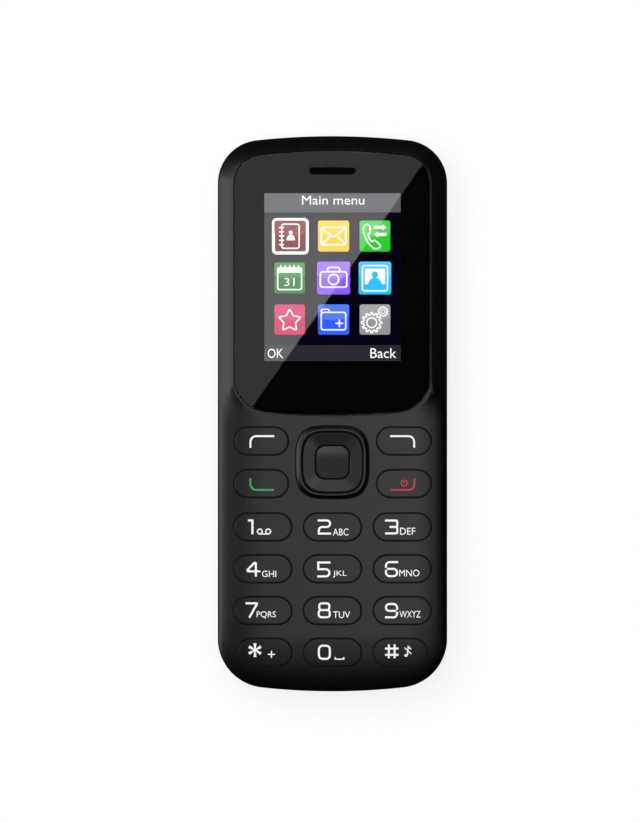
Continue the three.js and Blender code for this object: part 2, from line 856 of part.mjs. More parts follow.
function lcdPanel() {
  const half = screenHalf + panelBorder;
  return block(-half, half, screenBottomY - panelTail, screenTopY + panelTop, panelZ, panelTopZ);
}

// The display's ribbon, from beside the frame down to the board.
function displayFlex() {
  const nearY = frameBottomY - seatGap;
  const farY = nearY - flexReach;
  const low = boardTopZ + seatGap;
  const high = frameZ + frameFloor;
  const half = flexWidth / 2;
  const upright = block(-half, half, nearY - flexThickness, nearY, low, high);
  return upright.add(block(-half, half, farY, nearY, low, low + flexThickness));
}

function mainBoard() {
  const length = bodyLength - 2 * boardEnd;
  const outline = roundedBox(2 * boardHalf, length, boardCorner, 0, 0);
  return prism(outline, boardZ, boardTopZ);
}

function rfShield() {
  const y = frameTopY - shieldDrop - shieldLength / 2;
  const outline = roundedBox(shieldWidth, shieldLength, shieldCorner, 0, y);
  return prism(outline, shieldZ, shieldZ + shieldHeight);
}

const cardY = coverEdgeY - housingWall - cardInset;
const cardZ = underBoardZ - simThickness;

// A shallow metal card cage, open towards the battery.
function cardHolder(x, width, length) {
  const low = x - width / 2;
  const high = x + width / 2;
  const cage = block(low, high, cardY - length, cardY, cardZ, underBoardZ);
  const slotZ = cardZ + cardWall;
  const slot = block(
    low + cardWall,
    high - cardWall,
    cardY - length - overrun,
    cardY - cardWall,
    slotZ,
    slotZ + cardSlot,
  );
  return cage.subtract(slot);
}

function cardWindow(x, width, length) {
  const reach = width / 2 + fit;
  return block(
    x - reach,
    x + reach,
    cardY - length - fit,
    cardY + fit,
    bayRoofZ - overrun,
    bayTopZ + overrun,
  );
}

const contactsLowY = bayTopY + fit;
const contactsZ = underBoardZ - contactsHeight;
const tipZ = contactsZ + contactTip;
const contactX = (i) => (i - (contactTips - 1) / 2) * contactPitch;

// The battery's three spring contacts in their block.
function batteryContacts() {
  const half = contactsWidth / 2;
  const farY = contactsLowY + contactsDepth;
  let contacts = block(-half, half, contactsLowY, farY, contactsZ, underBoardZ);
  for (let i = 0; i < contactTips; i++) {
    const x = contactX(i);
    const reach = contactTip / 2;
    contacts = contacts.add(
      block(x - reach, x + reach, contactsLowY - fit, contactsLowY + reach, tipZ, tipZ + contactTip),
    );
  }
  return contacts;
}

function contactsNotch() {
  const half = contactsWidth / 2 + fit;
  const low = contactsLowY - fit - bayRib;
  return block(-half, half, low, contactsLowY + contactsDepth + fit, batteryZ, bayTopZ + overrun);
}

// The lower end wall's outside at a distance from the middle.
function endEdge(tip, arch, x) {
  return tip - arch + Math.sqrt(arch ** 2 - x ** 2);
}

const usbZ = underBoardZ - usbHeight;

function usbSocket() {
  const half = usbWidth / 2;
  const mouthY = bottomY + usbInset;
  const backY = mouthY + usbLength;
  const shell = block(-half, half, mouthY, backY, usbZ, underBoardZ);
  const hollow = block(
    -half + usbWall,
    half - usbWall,
    mouthY - overrun,
    backY - usbWall,
    usbZ + usbWall,
    underBoardZ - usbWall,
  );
  const middle = usbZ + usbHeight / 2;
  const tongue = block(
    -half + usbTongueSide,
    half - usbTongueSide,
    mouthY + usbInset,
    backY,
    middle - usbTongue / 2,
    middle + usbTongue / 2,
  );
  return shell.subtract(hollow).add(tongue);
}

const jackEdgeY = endEdge(topY, endArchTop, jackX);
const jackZ = underBoardZ - jackHeight / 2;

function audioJack() {
  const backY = jackEdgeY - jackSetback - jackLength;
  const frontY = jackEdgeY - jackSetback;
  const half = jackWidth / 2;
  const mouthY = jackEdgeY - jackInset;
  return block(jackX - half, jackX + half, backY, frontY, underBoardZ - jackHeight, underBoardZ)
    .add(barY(jackCollarRadius, jackX, jackZ, frontY - overrun, mouthY))
    .subtract(barY(jackBoreRadius, jackX, jackZ, mouthY - jackBoreLength, mouthY + overrun));
}

const cameraY = topY - cameraDrop;
const windowTopZ = windowRecess + windowThickness;

function cameraModule() {
  const half = cameraWidth / 2;
  const low = underBoardZ - cameraHeight;
  const housing = block(-half, half, cameraY - half, cameraY + half, low, underBoardZ);
  return housing.add(barZ(cameraBarrelRadius, 0, cameraY, windowTopZ + fit, low + overrun));
}

function cameraWindow() {
  return barZ(windowRadius, 0, cameraY, windowRecess, windowTopZ);
}

const crossWallY = coverEdgeY + fit + housingWall;
const speakerY = crossWallY + speakerWallGap + speakerLength / 2;
const innerFloorZ = housingWall;

function loudspeaker() {
  const low = innerFloorZ + seatGap;
  const outline = roundedBox(speakerWidth, speakerLength, speakerCorner, speakerX, speakerY);
  return prism(outline, low, low + speakerThickness);
}

const motorY = crossWallY + motorWallGap + weightRadius;
const motorZ = innerFloorZ + motorRise;
const motorEndX = motorX + motorLength / 2;
const weightX = motorEndX + weightGap;

function vibrationMotor() {
  const can = barX(motorRadius, motorY, motorZ, motorX - motorLength / 2, motorEndX);
  return can.add(barX(shaftRadius, motorY, motorZ, motorX, weightX + weightLength));
}

// The eccentric weight: half of a thick disc, with a hub round the shaft.
function vibrationWeight() {
  const high = weightX + weightLength;
  const hub = shaftRadius + shaftGap;
  const disc = barX(weightRadius, motorY, motorZ, weightX, high);
  const cutTop = motorZ - hub - shaftGap;
  const half = block(
    weightX - overrun,
    high + overrun,
    motorY - weightRadius,
    motorY + weightRadius,
    motorZ - weightRadius - overrun,
    cutTop,
  );
  return disc.subtract(half).subtract(barX(hub, motorY, motorZ, weightX - overrun, high + overrun));
}

function motorCradle() {
  const half = cradleWidth / 2;
  const top = motorZ;
  const cup = block(
    motorX - half,
    motorX + half,
    motorY - motorRadius - housingWall,
    motorY + motorRadius + housingWall,
    innerFloorZ - housingWall / 2,
    top,
  );
  const bed = barX(motorRadius + seatGap, motorY, motorZ, motorX - motorLength, motorX + motorLength);
  return cup.subtract(bed);
}

const microphoneY = bottomY + microphoneInset;
const microphoneZ = underBoardZ - microphoneThickness;

function microphone() {
  return barZ(microphoneRadius, microphoneX, microphoneY, microphoneZ, underBoardZ);
}

// A bent strip on the board's underside near the upper end.
function antenna() {
  const half = antennaWidth / 2;
  const antennaX = halfWidth - antennaSide - half;
  const farY = endEdge(topY, endArchTop, antennaX) - antennaSetback;
  const upright = block(
    antennaX - half,
    antennaX + half,
    farY - antennaThickness,
    farY,
    underBoardZ - antennaHeight,
    underBoardZ,
  );
  const flat = block(
    antennaX - half,
    antennaX + half,
    farY - antennaTail,
    farY,
    underBoardZ - antennaThickness,
    underBoardZ,
  );
  return upright.add(flat);
}

// The battery, with a sunk square contact before each of the spring contacts.
function battery() {
  const half = bayHalf - fit;
  const low = bayBottomY + fit;
  const high = bayTopY - fit;
  const outline = roundedBox(2 * half, high - low, leastCorner, 0, (low + high) / 2);
  let pack = prism(outline, batteryZ, batteryZ + batteryThickness);
  const padZ = tipZ + contactTip / 2;
  const reach = contactPad / 2;
  for (let i = 0; i < contactTips; i++) {
    const x = contactX(i);
    const padY = high - contactPadDepth;
    pack = pack.subtract(
      block(x - reach, x + reach, padY, high + overrun, padZ - reach, padZ + reach),
    );
  }
  return pack;
}

// The part of the casing on one side of a line across the phone.
function beyond(solid, y, upwards) {
  const reach = 2 * bodyLength;
  const low = upwards ? y : -reach;
  const high = upwards ? reach : y;
  return solid.intersect(block(-reach, reach, low, high, -reach, reach));
}

const railTopZ = coverTopZ - railDrop;
const railY = -(bodyLength / 2) + tailBlock;

// A rail on the inside of the cover's side wall, and the groove that it slides in.
function coverRail(side) {
  const wall = side * (halfWidth - coverWall / 2);
  const tip = side * (halfWidth - coverWall - railDepth);
  return block(
    Math.min(wall, tip),
    Math.max(wall, tip),
    railY,
    coverEdgeY - railInset,
    railTopZ - railHeight,
    railTopZ,
  );
}

function railGroove(side) {
  const outer = side * (halfWidth + overrun);
  const inner = side * (halfWidth - coverWall - railDepth - railGap);
  return block(
    Math.min(outer, inner),
    Math.max(outer, inner),
    bottomY - overrun,
    coverEdgeY - railInset + fit,
    railTopZ - railHeight - railGap,
    bandZ,
  );
}

// The removable back: a tray with rails at its sides, open at its upper edge.
function batteryCover() {
  const shell = backForm(0, coverTopZ).subtract(backForm(coverWall, coverTopZ + overrun));
  let cover = beyond(shell, coverEdgeY, false);
  for (const side of [-1, 1]) cover = cover.add(coverRail(side));
  for (let i = 0; i < gripCount; i++) {
    const y = coverEdgeY - gripInset - i * gripPitch;
    const line = gripLine / 2;
    const reach = gripWidth / 2;
    cover = cover.subtract(block(-reach, reach, y - line, y + line, -overrun, gripDepth));
  }
  return cover;
}

// The outside of the rear housing before anything is cut into it.
function rearForm() {
  const upper = beyond(backForm(0, seamZ), coverEdgeY + fit, true);
  const band = prism(bodyOutline(0), bandZ, seamZ);
  const core = beyond(backForm(coverWall + fit, seamZ), crossWallY, false);
  return upper.add(band).add(core);
}

function rearHollows() {
  const shallow = prism(bodyOutline(housingWall), bayTopZ, seamZ + overrun);
  const bay = block(
    -bayHalf,
    bayHalf,
    bayBottomY,
    coverEdgeY - housingWall,
    -overrun,
    bayRoofZ,
  );
  const upper = beyond(
    backForm(housingWall, seamZ + overrun),
    crossWallY,
    true,
  );
  const tailInset = coverWall + fit + housingWall;
  const tailForm = beyond(
    backForm(tailInset, seamZ + overrun),
    bayBottomY - housingWall,
    false,
  );
  return shallow.add(bay).add(upper).add(tailForm);
}

function bayPartition() {
  const low = bayTopY;
  const rise = bayRoofZ - bayRibRise;
  return block(-bayHalf - fit, bayHalf + fit, low, low + bayRib, rise, bayRoofZ + bayRoof / 2);
}

// Everything cut through the rear housing for one screw: boss pocket, shank and head.
function screwPassage(side, y) {
  const x = side * screwX;
  const pocketZ = bossZ - spigotFloor;
  const seatZ = pocketZ - screwSeat;
  return barZ(pocketRadius, x, y, pocketZ, seamZ + overrun)
    .add(barZ(screwRadius + screwThreadGap, x, y, seatZ - overrun, seamZ))
    .add(barZ(screwHeadRadius + screwThreadGap, x, y, -overrun, seatZ));
}

function housingScrew(side, y) {
  const x = side * screwX;
  const headTop = bossZ - spigotFloor - screwSeat - seatGap;
  const headLow = headTop - screwHeadHeight;
  const reach = driveLength / 2;
  const line = driveWidth / 2;
  const deep = headLow + driveDepth;
  return barZ(screwHeadRadius, x, y, headLow, headTop)
    .add(barZ(screwRadius, x, y, headLow + driveDepth, bossTopZ - 2 * screwTipGap))
    .subtract(block(x - reach, x + reach, y - line, y + line, headLow - overrun, deep))
    .subtract(block(x - line, x + line, y - reach, y + reach, headLow - overrun, deep));
}

// The window seat and the speaker slots in the fixed part of the back.
function backOpenings() {
  const recess = windowTopZ + filmGap;
  let openings = barZ(windowRadius + fit, 0, cameraY, -overrun, recess).add(
    barZ(windowRadius - windowLedge, 0, cameraY, -overrun, housingWall + overrun),
  );
  for (let i = 0; i < speakerSlots; i++) {
    const y = speakerY + (i - (speakerSlots - 1) / 2) * speakerSlotPitch;
    const slot = stadium(speakerSlotLength, speakerSlotWidth, speakerX, y, 0);
    openings = openings.add(prism(slot, -overrun, housingWall + overrun));
  }
  return openings;
}

function socketOpenings() {
  const reach = usbWidth / 2 + usbGap;
  const usb = block(
    -reach,
    reach,
    bottomY - overrun,
    bottomY + usbInset + usbLength,
    usbZ - usbGap,
    underBoardZ + usbGap,
  );
  const jack = barY(
    jackCollarRadius + fit,
    jackX,
    jackZ,
    jackEdgeY - jackSetback - overrun,
    topY + overrun,
  );
  const hole = barY(
    microphoneHole,
    microphoneX,
    microphoneZ,
    bottomY - overrun,
    microphoneY - microphoneRadius,
  );
  return usb.add(jack).add(hole);
}

function rearHousing() {
  let housing = rearForm()
    .subtract(rearHollows())
    .add(bayPartition())
    .add(motorCradle())
    .subtract(contactsNotch())
    .subtract(cardWindow(simX, simWidth, simLength))
    .subtract(cardWindow(memoryX, memoryWidth, memoryLength))
    .subtract(backOpenings())
    .subtract(socketOpenings());
  for (const side of [-1, 1]) {
    housing = housing.subtract(railGroove(side));
    for (const y of screwYs) housing = housing.subtract(screwPassage(side, y));
  }
  return housing;
}

const phone = new THREE.Group();

addPiece("front_cover", frontCover(), casingPlastic);
addPiece("display_lens", displayLens(), clearPlastic);
addPiece("lens_ink_mask", inkMask(), ink);
addPiece("lens_adhesive", lensAdhesive(), foam);
addPiece("earpiece_mesh", earpieceMesh(), steel);
addPiece("earpiece_speaker", earpieceSpeaker(), steel);
addPiece("lcd_frame", lcdFrame(), tinned);
addPiece("lcd_panel", lcdPanel(), darkGlass);
addPiece("display_flex", displayFlex(), polymer);
for (const key of keys) addPiece(key.name, roundKey(key), keyPlastic);
addPiece("nav_bezel", navBezel(), glossPlastic);
addPiece("nav_ring", navRing(), glossPlastic);
addPiece("nav_rocker", navRocker(), innerPlastic);
addPiece("ok_key", okKey(), glossPlastic);
addPiece("keypad_mat", keypadMat(), silicone);
addPiece("dome_sheet", domeSheet(), steel);
addPiece("main_board", mainBoard(), boardGreen);
addPiece("rf_shield", rfShield(), tinned);
addPiece("rear_housing", rearHousing(), casingPlastic);
addPiece("battery", battery(), batteryWrap);
addPiece("battery_contacts", batteryContacts(), gold);
addPiece("battery_cover", batteryCover(), coverPlastic);
addPiece("usb_socket", usbSocket(), steel);
addPiece("audio_jack", audioJack(), innerPlastic);
addPiece("microphone", microphone(), steel);
addPiece("loudspeaker", loudspeaker(), innerPlastic);
addPiece("vibration_motor", vibrationMotor(), steel);
addPiece("vibration_weight", vibrationWeight(), tinned);
addPiece("camera_module", cameraModule(), innerPlastic);
addPiece("camera_window", cameraWindow(), darkGlass);
addPiece("sim_card_holder", cardHolder(simX, simWidth, simLength), steel);
addPiece("memory_card_holder", cardHolder(memoryX, memoryWidth, memoryLength), steel);
addPiece("antenna", antenna(), gold);
for (const [level, y] of screwYs.entries()) {
  const row = level === 0 ? "upper" : "lower";
  addPiece(`screw_${row}_left`, housingScrew(-1, y), steel);
  addPiece(`screw_${row}_right`, housingScrew(1, y), steel);
}

export default phone;
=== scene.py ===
import json
import math

import bmesh
import bpy
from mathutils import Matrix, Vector
from mathutils.geometry import delaunay_2d_cdt


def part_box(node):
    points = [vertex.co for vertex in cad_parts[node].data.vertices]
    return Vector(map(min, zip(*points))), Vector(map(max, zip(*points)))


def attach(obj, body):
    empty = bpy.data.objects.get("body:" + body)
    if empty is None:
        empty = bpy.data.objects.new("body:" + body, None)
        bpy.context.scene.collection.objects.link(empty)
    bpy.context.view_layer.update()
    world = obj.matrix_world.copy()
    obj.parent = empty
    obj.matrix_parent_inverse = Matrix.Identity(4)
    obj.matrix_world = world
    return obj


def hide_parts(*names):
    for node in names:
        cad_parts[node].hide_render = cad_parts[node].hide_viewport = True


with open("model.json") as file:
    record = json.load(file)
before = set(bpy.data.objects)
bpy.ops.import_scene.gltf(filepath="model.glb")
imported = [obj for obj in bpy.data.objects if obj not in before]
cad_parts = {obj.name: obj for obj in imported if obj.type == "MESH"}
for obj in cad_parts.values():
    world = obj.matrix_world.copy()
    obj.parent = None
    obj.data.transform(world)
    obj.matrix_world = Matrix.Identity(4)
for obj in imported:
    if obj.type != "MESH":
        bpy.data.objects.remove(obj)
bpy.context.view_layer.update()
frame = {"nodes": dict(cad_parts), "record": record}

# Shapes are worked out in millimetres, in the phone's own frame, and become metres in add_object.
MM = 0.001
TAU = 2 * math.pi


def box(node):
    """The lowest and highest corner of a node, in millimetres."""
    low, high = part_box(node)
    return Vector(low) / MM, Vector(high) / MM


# The photograph: its size in pixels, the middle of the phone in it, and its scale
PHOTO_WIDTH = 640
PHOTO_HEIGHT = 823
PHONE_PX = (332.45, 413.75)
MM_PER_PX = 0.2073


def from_px(x, y):
    """The place on the phone that a pixel of the photograph shows."""
    return ((x - PHONE_PX[0]) * MM_PER_PX, (PHONE_PX[1] - y) * MM_PER_PX)


# Casing: sizes and outline, from the solids where they say it
COVER_LOW, COVER_HIGH = box("front_cover")
LENS_LOW, LENS_HIGH = box("display_lens")
BACK_HIGH = box("battery_cover")[1]
HALF_WIDTH = COVER_HIGH.x
TOP_Y = COVER_HIGH.y
BOTTOM_Y = COVER_LOW.y
FACE_Z = COVER_HIGH.z
KEY_TOP_Z = box("key_2")[1].z
KEY_PROUD = KEY_TOP_Z - FACE_Z
SEAM_GAP = 0.15
SEAM_Z = box("rear_housing")[1].z + SEAM_GAP
ROOF_Z = 11.65
LEDGE_Z = 12.28
WALL = 1.4
TOP_ARCH = 146
BOTTOM_ARCH = 134
TOP_CORNER = 9.0
BOTTOM_CORNER = 10.2
LEAST_CORNER = 0.6

# How the face falls to the sides: steeply beside the lens, slowly beside the keys
ROLL_HEIGHT = 2.5
DISPLAY_ROLL_WIDTH = 3.3
DISPLAY_ROLL_POWER = 1.1
KEYPAD_ROLL_WIDTH = 10.0
KEYPAD_ROLL_POWER = 2.3
BOTTOM_ROLL_WIDTH = 14.0
BOTTOM_ROLL_FROM = -42
BOTTOM_ROLL_TO = -50
NAV_Y = (box("nav_ring")[0].y + box("nav_ring")[1].y) / 2
FLARE_ABOVE = 5.5
FLARE_BELOW = 2.5
FLARE_TOP = LENS_LOW.y + FLARE_ABOVE
FLARE_BOTTOM = LENS_LOW.y - FLARE_BELOW
EDGE_REACH = 0.3
EDGE_DROP = 0.35
EDGE_STEPS = 6
RING_DEPTHS = (0.42, 0.58, 0.8, 1.1, 1.45, 1.85, 2.25, 2.6)

# Lens and display
LENS_INSET = 0.17
RECESS_INSET = 0.08
RECESS_SLOPE = 0.13
RECESS_DROP = 0.1
RECESS_ROWS = (0.1, 0.25)
INK_INSET = 0.05
LENS_TOP_ARCH = 120
LENS_BOTTOM_ARCH = 140
LENS_TOP_CORNER = 5.8
LENS_BOTTOM_CORNER = 7.5
LENS_BEVEL = 0.05
MASK_SIDE = 6.25
MASK_TOP = 8.84
MASK_BOTTOM = 11.36
SCREEN_HALF = LENS_HIGH.x - MASK_SIDE
SCREEN_TOP = LENS_HIGH.y - MASK_TOP
SCREEN_BOTTOM = LENS_LOW.y + MASK_BOTTOM
EAR_SLOT_WIDTH = 9.7
EAR_SLOT_HEIGHT = 1.5
EAR_DROP = 4.23
EAR_Y = LENS_HIGH.y - EAR_DROP
EAR_MARGIN = 1.0
FRAME_LOW, FRAME_HIGH = box("lcd_frame")
FIT = 0.3
WELL_CORNER = 0.5

# Keys
KEY_FIT = 0.2
KEY_FLANGE = 0.6
KEY_FLANGE_THICKNESS = 0.8
KEY_EDGE = 0.12
HOLE_EDGE = 0.1
NAV_HOLE = 15.2
NAV_SQUARENESS = 3.4
ROUND_KEYS = ["soft_key_left", "soft_key_right", "call_key", "end_key", "key_star", "key_0", "key_hash"]
ROUND_KEYS += [f"key_{digit}" for digit in range(1, 10)]

# Fineness
CORNER_STEPS = 24
ARCH_STEPS = 40
SIDE_STEPS = 56
STADIUM_STEPS = 22
NAV_STEPS = 96
GRID = 0.75
TOP_EDGE_STEPS = 4
CDT_EPSILON = 1e-6

# A place at a sheet's own edge still counts as inside it
NEARLY = 0.99


# Curves and forms


def clamp(value, low=0.0, high=1.0):
    return max(low, min(high, value))


def mix(a, b, share):
    return a + (b - a) * share


def smooth(share):
    share = clamp(share)
    return share * share * (3 - 2 * share)


def arc(x, y, radius, start, end, steps):
    points = []
    for step in range(steps + 1):
        angle = mix(start, end, step / steps)
        points.append((x + radius * math.cos(angle), y + radius * math.sin(angle)))
    return points


def corner_place(half, tip, arch, corner):
    """The middle of an end's round corner, the middle of its arch, and the angle where they meet."""
    middle = tip - arch
    x = half - corner
    y = middle + math.sqrt((arch - corner) ** 2 - x ** 2)
    return x, y, middle, math.atan2(y - middle, x)


def arched_end(half, tip, arch, corner):
    x, y, middle, turn = corner_place(half, tip, arch, corner)
    return (
        arc(x, y, corner, 0, turn, CORNER_STEPS)
        + arc(0, middle, arch, turn, math.pi - turn, ARCH_STEPS)[1:-1]
        + arc(-x, y, corner, math.pi - turn, math.pi, CORNER_STEPS)
    )


def between(start, end, steps):
    """The points strictly between two others."""
    return [
        (mix(start[0], end[0], step / steps), mix(start[1], end[1], step / steps))
        for step in range(1, steps)
    ]


class ArchedShape:
    """A shape with straight sides and two arched ends, such as the phone's outline or its lens."""

    def __init__(self, half, top, bottom, arches, corners):
        self.half = half
        self.top = top
        self.bottom = bottom
        self.arches = arches
        self.corners = corners

    def outline(self, inset):
        """Its anticlockwise outline, drawn in by the inset."""
        half = self.half - inset
        corners = [max(LEAST_CORNER, corner - inset) for corner in self.corners]
        upper = arched_end(half, self.top - inset, self.arches[0] - inset, corners[0])
        lower = arched_end(half, -self.bottom - inset, self.arches[1] - inset, corners[1])
        lower = [(-x, -y) for x, y in lower]
        left = between(upper[-1], lower[0], SIDE_STEPS)
        right = between(lower[-1], upper[0], SIDE_STEPS)
        return upper + left + lower + right

    def drawn_in(self, inset):
        """The same shape, smaller all round."""
        return ArchedShape(
            self.half - inset,
            self.top - inset,
            self.bottom + inset,
            [arch - inset for arch in self.arches],
            [corner - inset for corner in self.corners],
        )

    def depth(self, x, y):
        """How far a place lies inside the outline; negative outside."""
        x = abs(x)
        if y >= (self.top + self.bottom) / 2:
            tip, arch, corner = self.top, self.arches[0], self.corners[0]
        else:
            y, tip, arch, corner = -y, -self.bottom, self.arches[1], self.corners[1]
        corner_x, corner_y, middle, turn = corner_place(self.half, tip, arch, corner)
        in_corner = x > corner_x and y > corner_y and math.atan2(y - middle, x) < turn
        if in_corner:
            return corner - math.hypot(x - corner_x, y - corner_y)
        return min(self.half - x, arch - math.hypot(x, y - middle))


BODY = ArchedShape(HALF_WIDTH, TOP_Y, BOTTOM_Y, (TOP_ARCH, BOTTOM_ARCH), (TOP_CORNER, BOTTOM_CORNER))
LENS = ArchedShape(
    LENS_HIGH.x,
    LENS_HIGH.y,
    LENS_LOW.y,
    (LENS_TOP_ARCH, LENS_BOTTOM_ARCH),
    (LENS_TOP_CORNER, LENS_BOTTOM_CORNER),
)


class Stadium:
    """A shape with two half-round ends."""

    def __init__(self, width, height, x, y):
        self.reach = (width - height) / 2
        self.radius = height / 2
        self.x = x
        self.y = y

    def outline(self, inset):
        radius = self.radius - inset
        right = arc(self.x + self.reach, self.y, radius, -math.pi / 2, math.pi / 2, STADIUM_STEPS)
        left = arc(self.x - self.reach, self.y, radius, math.pi / 2, 1.5 * math.pi, STADIUM_STEPS)
        steps = max(1, round(2 * self.reach / GRID))
        return right + between(right[-1], left[0], steps) + left + between(left[-1], right[0], steps)

    def depth(self, x, y):
        beyond = max(0, abs(x - self.x) - self.reach)
        return self.radius - math.hypot(beyond, y - self.y)


class SoftSquare:
    """A square with bulging sides and soft corners, about the middle of the navigation key."""

    def __init__(self, half):
        self.half = half

    def outline(self, inset):
        points = []
        for step in range(NAV_STEPS):
            angle = TAU * step / NAV_STEPS
            cos, sin = math.cos(angle), math.sin(angle)
            total = abs(cos) ** NAV_SQUARENESS + abs(sin) ** NAV_SQUARENESS
            radius = (self.half - inset) / total ** (1 / NAV_SQUARENESS)
            points.append((radius * cos, NAV_Y + radius * sin))
        return points

    def depth(self, x, y):
        total = abs(x) ** NAV_SQUARENESS + abs(y - NAV_Y) ** NAV_SQUARENESS
        return self.half - total ** (1 / NAV_SQUARENESS)


class RoundBox:
    """A rectangle with round corners."""

    def __init__(self, low_x, high_x, low_y, high_y, corner, steps=8):
        self.middle = ((low_x + high_x) / 2, (low_y + high_y) / 2)
        self.half = ((high_x - low_x) / 2, (high_y - low_y) / 2)
        self.corner = corner
        self.steps = steps

    def outline(self, inset):
        corner = max(0.0, self.corner - inset)
        reach_x = self.half[0] - inset - corner
        reach_y = self.half[1] - inset - corner
        x, y = self.middle
        turn = math.pi / 2
        if corner == 0:
            return [
                (x + reach_x, y + reach_y),
                (x - reach_x, y + reach_y),
                (x - reach_x, y - reach_y),
                (x + reach_x, y - reach_y),
            ]
        return (
            arc(x + reach_x, y + reach_y, corner, 0, turn, self.steps)
            + arc(x - reach_x, y + reach_y, corner, turn, 2 * turn, self.steps)
            + arc(x - reach_x, y - reach_y, corner, 2 * turn, 3 * turn, self.steps)
            + arc(x + reach_x, y - reach_y, corner, 3 * turn, 4 * turn, self.steps)
        )

    def depth(self, x, y):
        over_x = abs(x - self.middle[0]) - self.half[0] + self.corner
        over_y = abs(y - self.middle[1]) - self.half[1] + self.corner
        outside = math.hypot(max(0, over_x), max(0, over_y))
        return self.corner - outside - min(0, max(over_x, over_y))


def key_shape(node):
    """The visible outline of a key, whose solid includes its hidden flange."""
    low, high = box(node)
    spread = KEY_FIT + KEY_FLANGE
    width = high.x - low.x - 2 * spread
    height = high.y - low.y - 2 * spread
    return Stadium(width, height, (low.x + high.x) / 2, (low.y + high.y) / 2)


def flare(y):
    """How far the display's steep flank has turned into the keypad's soft one, 0 to 1."""
    return smooth((FLARE_TOP - y) / (FLARE_TOP - FLARE_BOTTOM))


def face_fall(x, y, depth=None):
    """How far the face lies under its highest level."""
    if depth is None:
        depth = BODY.depth(x, y)
    share = flare(y)
    low_share = smooth((y - BOTTOM_ROLL_FROM) / (BOTTOM_ROLL_TO - BOTTOM_ROLL_FROM))
    keypad_width = mix(KEYPAD_ROLL_WIDTH, BOTTOM_ROLL_WIDTH, low_share)
    width = mix(DISPLAY_ROLL_WIDTH, keypad_width, share)
    power = mix(DISPLAY_ROLL_POWER, KEYPAD_ROLL_POWER, share)
    reach = clamp(1 - depth / width)
    return ROLL_HEIGHT * (1 - (1 - reach ** power) ** (1 / power))


def face_z(x, y):
    return FACE_Z - face_fall(x, y)


def key_z(x, y):
    return face_z(x, y) + KEY_PROUD


# Mesh building

SLOPE_STEP = 0.01


class Shell:
    """Points and faces of one piece, in millimetres."""

    def __init__(self):
        self.points = []
        self.faces = []
        self.normals = {}

    def loop(self, outline, height):
        """Adds an outline as points, at one height or at the height that a function gives."""
        start = len(self.points)
        for x, y in outline:
            z = height(x, y) if callable(height) else height
            self.points.append((x, y, z))
        return list(range(start, len(self.points)))

    def strip(self, low, high):
        """Faces between two loops; seen from outside, the first one is the lower."""
        count = len(low)
        for i in range(count):
            j = (i + 1) % count
            self.faces.append((low[i], low[j], high[j], high[i]))

    def tower(self, loops):
        for low, high in zip(loops, loops[1:]):
            self.strip(low, high)

    def cap(self, loop, up=True):
        self.faces.append(tuple(loop) if up else tuple(reversed(loop)))

    def rounded_edge(self, shape, edge, top, steps, drop=0.0):
        """Loops that turn from a wall over a rounded edge, up to a drop below the top."""
        loops = []
        for step in range(steps + 1):
            angle = math.pi / 2 * step / steps
            inset = edge * (1 - math.cos(angle))
            fall = edge * (1 - math.sin(angle)) + drop
            loops.append(self.loop(shape.outline(inset), lambda x, y, d=fall: top(x, y) - d))
        return loops

    def follow(self, loop, height):
        """Gives the points of a loop the normals of the surface that a function describes."""
        for i in loop:
            x, y, z = self.points[i]
            slope_x = (height(x + SLOPE_STEP, y) - height(x - SLOPE_STEP, y)) / (2 * SLOPE_STEP)
            slope_y = (height(x, y + SLOPE_STEP) - height(x, y - SLOPE_STEP)) / (2 * SLOPE_STEP)
            self.normals[i] = Vector((-slope_x, -slope_y, 1)).normalized()

    def sheet(self, loops, inside, loose=(), up=True, height=None):
        """Triangles over an area bounded by loops, wherever inside(x, y) holds."""
        index = [i for loop in loops for i in loop] + list(loose)
        if height:
            self.follow(index, height)
        places = [Vector(self.points[i][:2]) for i in index]
        edges = []
        start = 0
        for loop in loops:
            count = len(loop)
            edges += [(start + i, start + (i + 1) % count) for i in range(count)]
            start += count
        found = delaunay_2d_cdt(places, edges, [], 0, CDT_EPSILON, True)
        spots, triangles, origins = found[0], found[2], found[3]
        names = [index[origin[0]] if origin else None for origin in origins]
        for triangle in triangles:
            if None in (names[i] for i in triangle):
                raise ValueError("outlines of a sheet cross")
            a, b, c = (spots[i] for i in triangle)
            middle = (a + b + c) / 3
            if not inside(middle.x, middle.y):
                continue
            anticlockwise = (b - a).cross(c - a) > 0
            corners = [names[i] for i in triangle]
            if anticlockwise != up:
                corners.reverse()
            self.faces.append(tuple(corners))


def add_object(name, shell, material, smooth_angle=30):
    mesh = bpy.data.meshes.new(name)
    mesh.from_pydata([tuple(c * MM for c in p) for p in shell.points], [], shell.faces)
    mesh.validate()
    mesh.update()
    mesh.materials.append(material)
    if smooth_angle:
        mesh.shade_smooth()
        mesh.set_sharp_from_angle(angle=math.radians(smooth_angle))
    if shell.normals:
        normals = [corner.vector.copy() for corner in mesh.corner_normals]
        for corner in mesh.loops:
            if corner.vertex_index in shell.normals:
                normals[corner.index] = shell.normals[corner.vertex_index]
        mesh.normals_split_custom_set(normals)
    piece = bpy.data.objects.new(name, mesh)
    bpy.context.scene.collection.objects.link(piece)
    return piece


def grid_points(shell, low, high, height, keep, step=GRID):
    """Loose points on a triangular grid, where keep(x, y) holds."""
    places = []
    row = 0
    y = low[1]
    while y < high[1]:
        x = low[0] + (step / 2 if row % 2 else 0)
        while x < high[0]:
            if keep(x, y):
                places.append((x, y))
            x += step
        y += step
        row += 1
    return shell.loop(places, height)


# Materials


def new_material(name):
    material = bpy.data.materials.new(name)
    material.use_nodes = True
    material.node_tree.nodes.clear()
    return material


